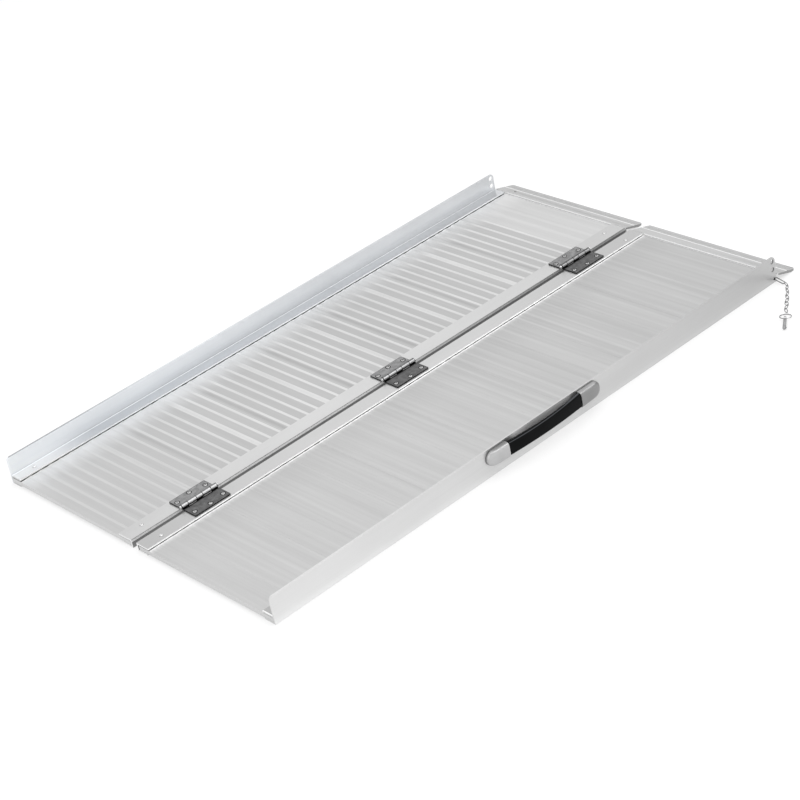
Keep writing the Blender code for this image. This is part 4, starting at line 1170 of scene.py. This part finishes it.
def wire(name, points, radius, closed, material, sides=12):
    """A round wire swept along points, with a frame carried from one to the next."""
    shape = bmesh.new()
    count = len(points)
    points = [Vector(p) for p in points]
    tangents = []
    for i in range(count):
        if closed:
            tangents.append((points[(i + 1) % count] - points[i - 1]).normalized())
        else:
            tangents.append((points[min(i + 1, count - 1)] - points[max(i - 1, 0)]).normalized())
    normal = tangents[0].orthogonal().normalized()
    rings = []
    for i in range(count):
        normal = (normal - tangents[i] * normal.dot(tangents[i])).normalized()
        side = tangents[i].cross(normal)
        rings.append([
            shape.verts.new(points[i] + (normal * math.cos(2 * math.pi * k / sides) + side * math.sin(2 * math.pi * k / sides)) * radius)
            for k in range(sides)
        ])
    pairs = list(zip(rings, rings[1:]))
    for a, b in pairs:
        for k in range(sides):
            j = (k + 1) % sides
            shape.faces.new((a[k], a[j], b[j], b[k]))
    if closed:
        a, b = rings[-1], rings[0]
        shift = min(range(sides), key=lambda q: (a[0].co - b[q].co).length)
        for k in range(sides):
            j = (k + 1) % sides
            shape.faces.new((a[k], a[j], b[(j + shift) % sides], b[(k + shift) % sides]))
    else:
        shape.faces.new(rings[0][::-1])
        shape.faces.new(rings[-1])
    made = new_object(name, shape)
    made.data.set_sharp_from_angle(angle=math.radians(50))
    made.data.materials.append(material)
    return made


half_width = (LENGTH + 1.35 - TETHER_HOLE_X) / 2 + 0.05
link_inside = WALL + 1.6 + LINK_WIRE
link_length = 27.0 - 2 * LINK_WIRE
link_centre = Vector((TETHER_HOLE_X + half_width, link_inside - link_length / 2, 0))
straight = link_length / 2 - half_width
drop = (TETHER_HOLE_Z - 1.5) / link_length
link_points = []
for centre_v, start in ((straight, 0), (-straight, 180)):
    for u, v in arc((0, centre_v), half_width, start, start + 180, 16):
        link_points.append((link_centre.x + u, link_centre.y + v, TETHER_HOLE_Z - drop * (link_length / 2 - v)))
link = wire("tether_oval_link", link_points, LINK_WIRE, True, CHAIN_STEEL, 14)
dress(link, CHAIN_STEEL, NEAR, "bright_steel", "tether_link")

ROUTE = ((1217.6, -22.2), (1208.0, -38.0), (1160.0, -71.0), (1133.0, -90.6))
CHAIN_R = 4.0


def route(t):
    a, b, c, d = (Vector(p) for p in ROUTE)
    s = 1 - t
    at = a * s**3 + b * 3 * s * s * t + c * 3 * s * t * t + d * t**3
    return Vector((at.x, at.y, CHAIN_R + 0.05))


fine = [route(i / 400) for i in range(401)]
runs = [0.0]
for a, b in zip(fine, fine[1:]):
    runs.append(runs[-1] + (b - a).length)
chain_length = runs[-1]


def at_length(s):
    s = min(max(s, 0.0), chain_length)
    for i in range(400):
        if runs[i + 1] >= s:
            t = (s - runs[i]) / max(1e-9, runs[i + 1] - runs[i])
            return fine[i].lerp(fine[i + 1], t), (fine[i + 1] - fine[i]).normalized()
    return fine[-1], (fine[-1] - fine[-2]).normalized()


def chain():
    """Oval links, each turned a quarter from the last, that follow the route."""
    shape = bmesh.new()
    radius, sides, around = 0.62, 8, 22
    pitch_count = 9
    pitch = (chain_length - 2.2) / pitch_count
    long_half = pitch / 2 + radius * 1.0
    for n in range(pitch_count):
        centre, along = at_length(1.1 + pitch * (n + 0.5))
        across = Vector((-along.y, along.x, 0))
        tilt = math.radians((45 if n % 2 else -45) + 9 * math.sin(n * 2.3))
        wide = across * math.cos(tilt) + Vector((0, 0, 1)) * math.sin(tilt)
        normal = along.cross(wide)
        half_w = 3.35
        outline = []
        run = long_half - half_w + 0.6
        for centre_u, start in ((run, -90), (-run, 90)):
            for k in range(around // 2 + 1):
                a = math.radians(start + 180 * k / (around // 2))
                outline.append((centre_u + (half_w - 0.6) * math.cos(a), half_w * math.sin(a)))
        points = [centre + along * u + wide * v for u, v in outline]
        for p in points:
            p.z = max(p.z, radius + 0.12)
        count = len(points)
        rings = []
        for i in range(count):
            tangent = (points[(i + 1) % count] - points[i - 1]).normalized()
            n2 = (normal - tangent * normal.dot(tangent)).normalized()
            side = tangent.cross(n2)
            rings.append([
                shape.verts.new(points[i] + (n2 * math.cos(2 * math.pi * k / sides) + side * math.sin(2 * math.pi * k / sides)) * radius)
                for k in range(sides)
            ])
        for i in range(count):
            a, b = rings[i], rings[(i + 1) % count]
            for k in range(sides):
                j = (k + 1) % sides
                shape.faces.new((a[k], a[j], b[j], b[k]))
    made = new_object("tether_chain_links", shape)
    return dress(made, CHAIN_STEEL, NEAR, "bright_steel", "tether_chain")


chain_piece = chain()

RING_R, RING_WIRE, PIN_R, PIN_LENGTH = 10.6, 1.25, 3.2, 34.0
chain_end = route(1.0)
away = (route(1.0) - route(15 / 16)).normalized()
away.z = 0
away.normalize()
sideways = Vector((-away.y, away.x, 0))
pin_height = 4.6
ring_low = RING_WIRE + 0.1
tilt = math.asin((pin_height - ring_low) / (2 * RING_R))
ring_u = Vector((away.x * math.cos(tilt), away.y * math.cos(tilt), math.sin(tilt)))
ring_normal = ring_u.cross(sideways).normalized()
first = chain_end + away * (0.5 + RING_WIRE)
first.z = ring_low
ring_centre = first + ring_u * RING_R
coil = []
turns, steps = 1.9, 96
for i in range(steps + 1):
    a = 2 * math.pi * turns * i / steps + 0.9
    lift = (i / steps - 0.5) * 1.25
    coil.append(ring_centre + ring_u * (RING_R * math.cos(a)) + sideways * (RING_R * math.sin(a)) + ring_normal * lift)
ring = wire("tether_coiled_ring", coil, 0.62, False, BRIGHT, 8)
dress(ring, TETHER_STEEL, NEAR, "bright_steel", "tether_split_ring")

eye = ring_centre + ring_u * RING_R
fall = math.asin((pin_height - PIN_R - 0.1) / (PIN_LENGTH + 2))
pin_axis = Vector((away.x * math.cos(fall), away.y * math.cos(fall), -math.sin(fall)))
lock_pin = turned(
    "lock_pin_body",
    [(0, 2.6), (PIN_R - 0.6, 2.6), (PIN_R, 4.2), (PIN_R, PIN_LENGTH - 2.6), (PIN_R - 0.35, PIN_LENGTH - 1.6),
     (PIN_R - 1.2, PIN_LENGTH - 0.5), (PIN_R - 2.2, PIN_LENGTH - 0.05), (0, PIN_LENGTH)],
    32, eye, pin_axis,
)
head = turned(
    "head", [(0, -2.2), (3.9, -2.2), (4.4, -1.7), (4.4, 1.7), (3.9, 2.2), (0, 2.2)], 36, eye, sideways,
)
ball_shape = bmesh.new()
bmesh.ops.create_uvsphere(
    ball_shape, u_segments=20, v_segments=12, radius=1.3,
    matrix=Matrix.Translation(eye + pin_axis * (PIN_LENGTH - 4.5) + sideways * (PIN_R - 0.25)),
)
ball = new_object("ball", ball_shape)
combine(lock_pin, [head, ball], "UNION")
combine(lock_pin, [rod("cutter", 2.1, eye - sideways * 5, eye + sideways * 5, 28)])
lock_pin.data.set_sharp_from_angle(angle=math.radians(36))
dress(lock_pin, TETHER_STEEL, NEAR, "bright_steel", "locking_pin")

# ------------------------------------------------- CAD nodes shown as they are

for name, material in (
    ("handle_rivet_bottom_end", SCREW_STEEL),
    ("handle_rivet_top_end", SCREW_STEEL),
):
    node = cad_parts[name]
    node.data.materials.clear()
    node.data.materials.append(material)

# ------------------------------------------------------- floor and lighting

floor_nodes = Nodes("floor_paper")
paper = floor_nodes.noise(3.0, (1, 1, 1), 3)
floor_colour = floor_nodes.scale_colour((0.33, 0.33, 0.33), floor_nodes.ramp(paper, 0.3, 0.7, 0.99, 1.01))
# The sheet is lit from below as well, as on a product table, so shadows stay faint.
floor_nodes.shader.inputs["Emission Color"].default_value = (1.0, 1.0, 1.0, 1.0)
floor_nodes.shader.inputs["Emission Strength"].default_value = 0.60
FLOOR = floor_nodes.out(floor_colour, 0.85, 0.0)
floor_shape = bmesh.new()
bmesh.ops.create_grid(floor_shape, x_segments=8, y_segments=8, size=1.0)
floor_mesh = bpy.data.meshes.new("studio_floor")
floor_shape.to_mesh(floor_mesh)
floor_shape.free()
floor = bpy.data.objects.new("studio_floor", floor_mesh)
floor.scale = (30, 30, 1)
floor.location = (0, 0, -0.0004)
floor_mesh.materials.append(FLOOR)
scene.collection.objects.link(floor)
floor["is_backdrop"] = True

world = bpy.data.worlds.new("studio")
scene.world = world
world.use_nodes = True
sky = world.node_tree
heading = sky.nodes.new("ShaderNodeTexCoord")
split = sky.nodes.new("ShaderNodeSeparateXYZ")
sky.links.new(heading.outputs["Generated"], split.inputs[0])
rise = sky.nodes.new("ShaderNodeMapRange")
rise.interpolation_type = "SMOOTHSTEP"
sky.links.new(split.outputs[2], rise.inputs["Value"])
for socket, value in (("From Min", 0.03), ("From Max", 0.24), ("To Max", 1.0)):
    rise.inputs[socket].default_value = value
# Near the horizon the studio is dark behind the ramp and bright in front of it.
ahead = sky.nodes.new("ShaderNodeVectorMath")
ahead.operation = "DOT_PRODUCT"
ahead.inputs[1].default_value = (0.6, 0.8, 0.0)
sky.links.new(heading.outputs["Generated"], ahead.inputs[0])
horizon = sky.nodes.new("ShaderNodeMapRange")
horizon.interpolation_type = "SMOOTHSTEP"
sky.links.new(ahead.outputs["Value"], horizon.inputs["Value"])
for socket, value in (("From Min", -0.3), ("From Max", 0.5), ("To Min", 1.5), ("To Max", 0.25)):
    horizon.inputs[socket].default_value = value
sky.links.new(horizon.outputs["Result"], rise.inputs["To Min"])
sky.nodes["Background"].inputs[0].default_value = (1.0, 1.0, 1.0, 1.0)
sky.links.new(rise.outputs["Result"], sky.nodes["Background"].inputs[1])


def softbox(name, direction, distance, size, radiance, colour=(1, 1, 1)):
    """A large area light that faces the middle of the ramp."""
    light = bpy.data.lights.new(name, "AREA")
    light.shape = "RECTANGLE"
    light.size, light.size_y = size
    light.energy = radiance * size[0] * size[1] * math.pi
    light.color = colour
    made = bpy.data.objects.new(name, light)
    direction = Vector(direction).normalized()
    made.location = direction * distance
    made.rotation_mode = "QUATERNION"
    made.rotation_quaternion = direction.to_track_quat("Z", "Y")
    scene.collection.objects.link(made)
    return made


softbox("top", (0.05, -0.05, 1.0), 3.4, (2.8, 2.8), 1.5)
softbox("key_front_right", (0.52, -0.50, 0.69), 3.2, (1.8, 1.3), 1.8)
softbox("left_fill", (-0.85, -0.25, 0.45), 3.4, (1.4, 1.4), 1.1)

bpy.context.view_layer.update()
low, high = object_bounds()
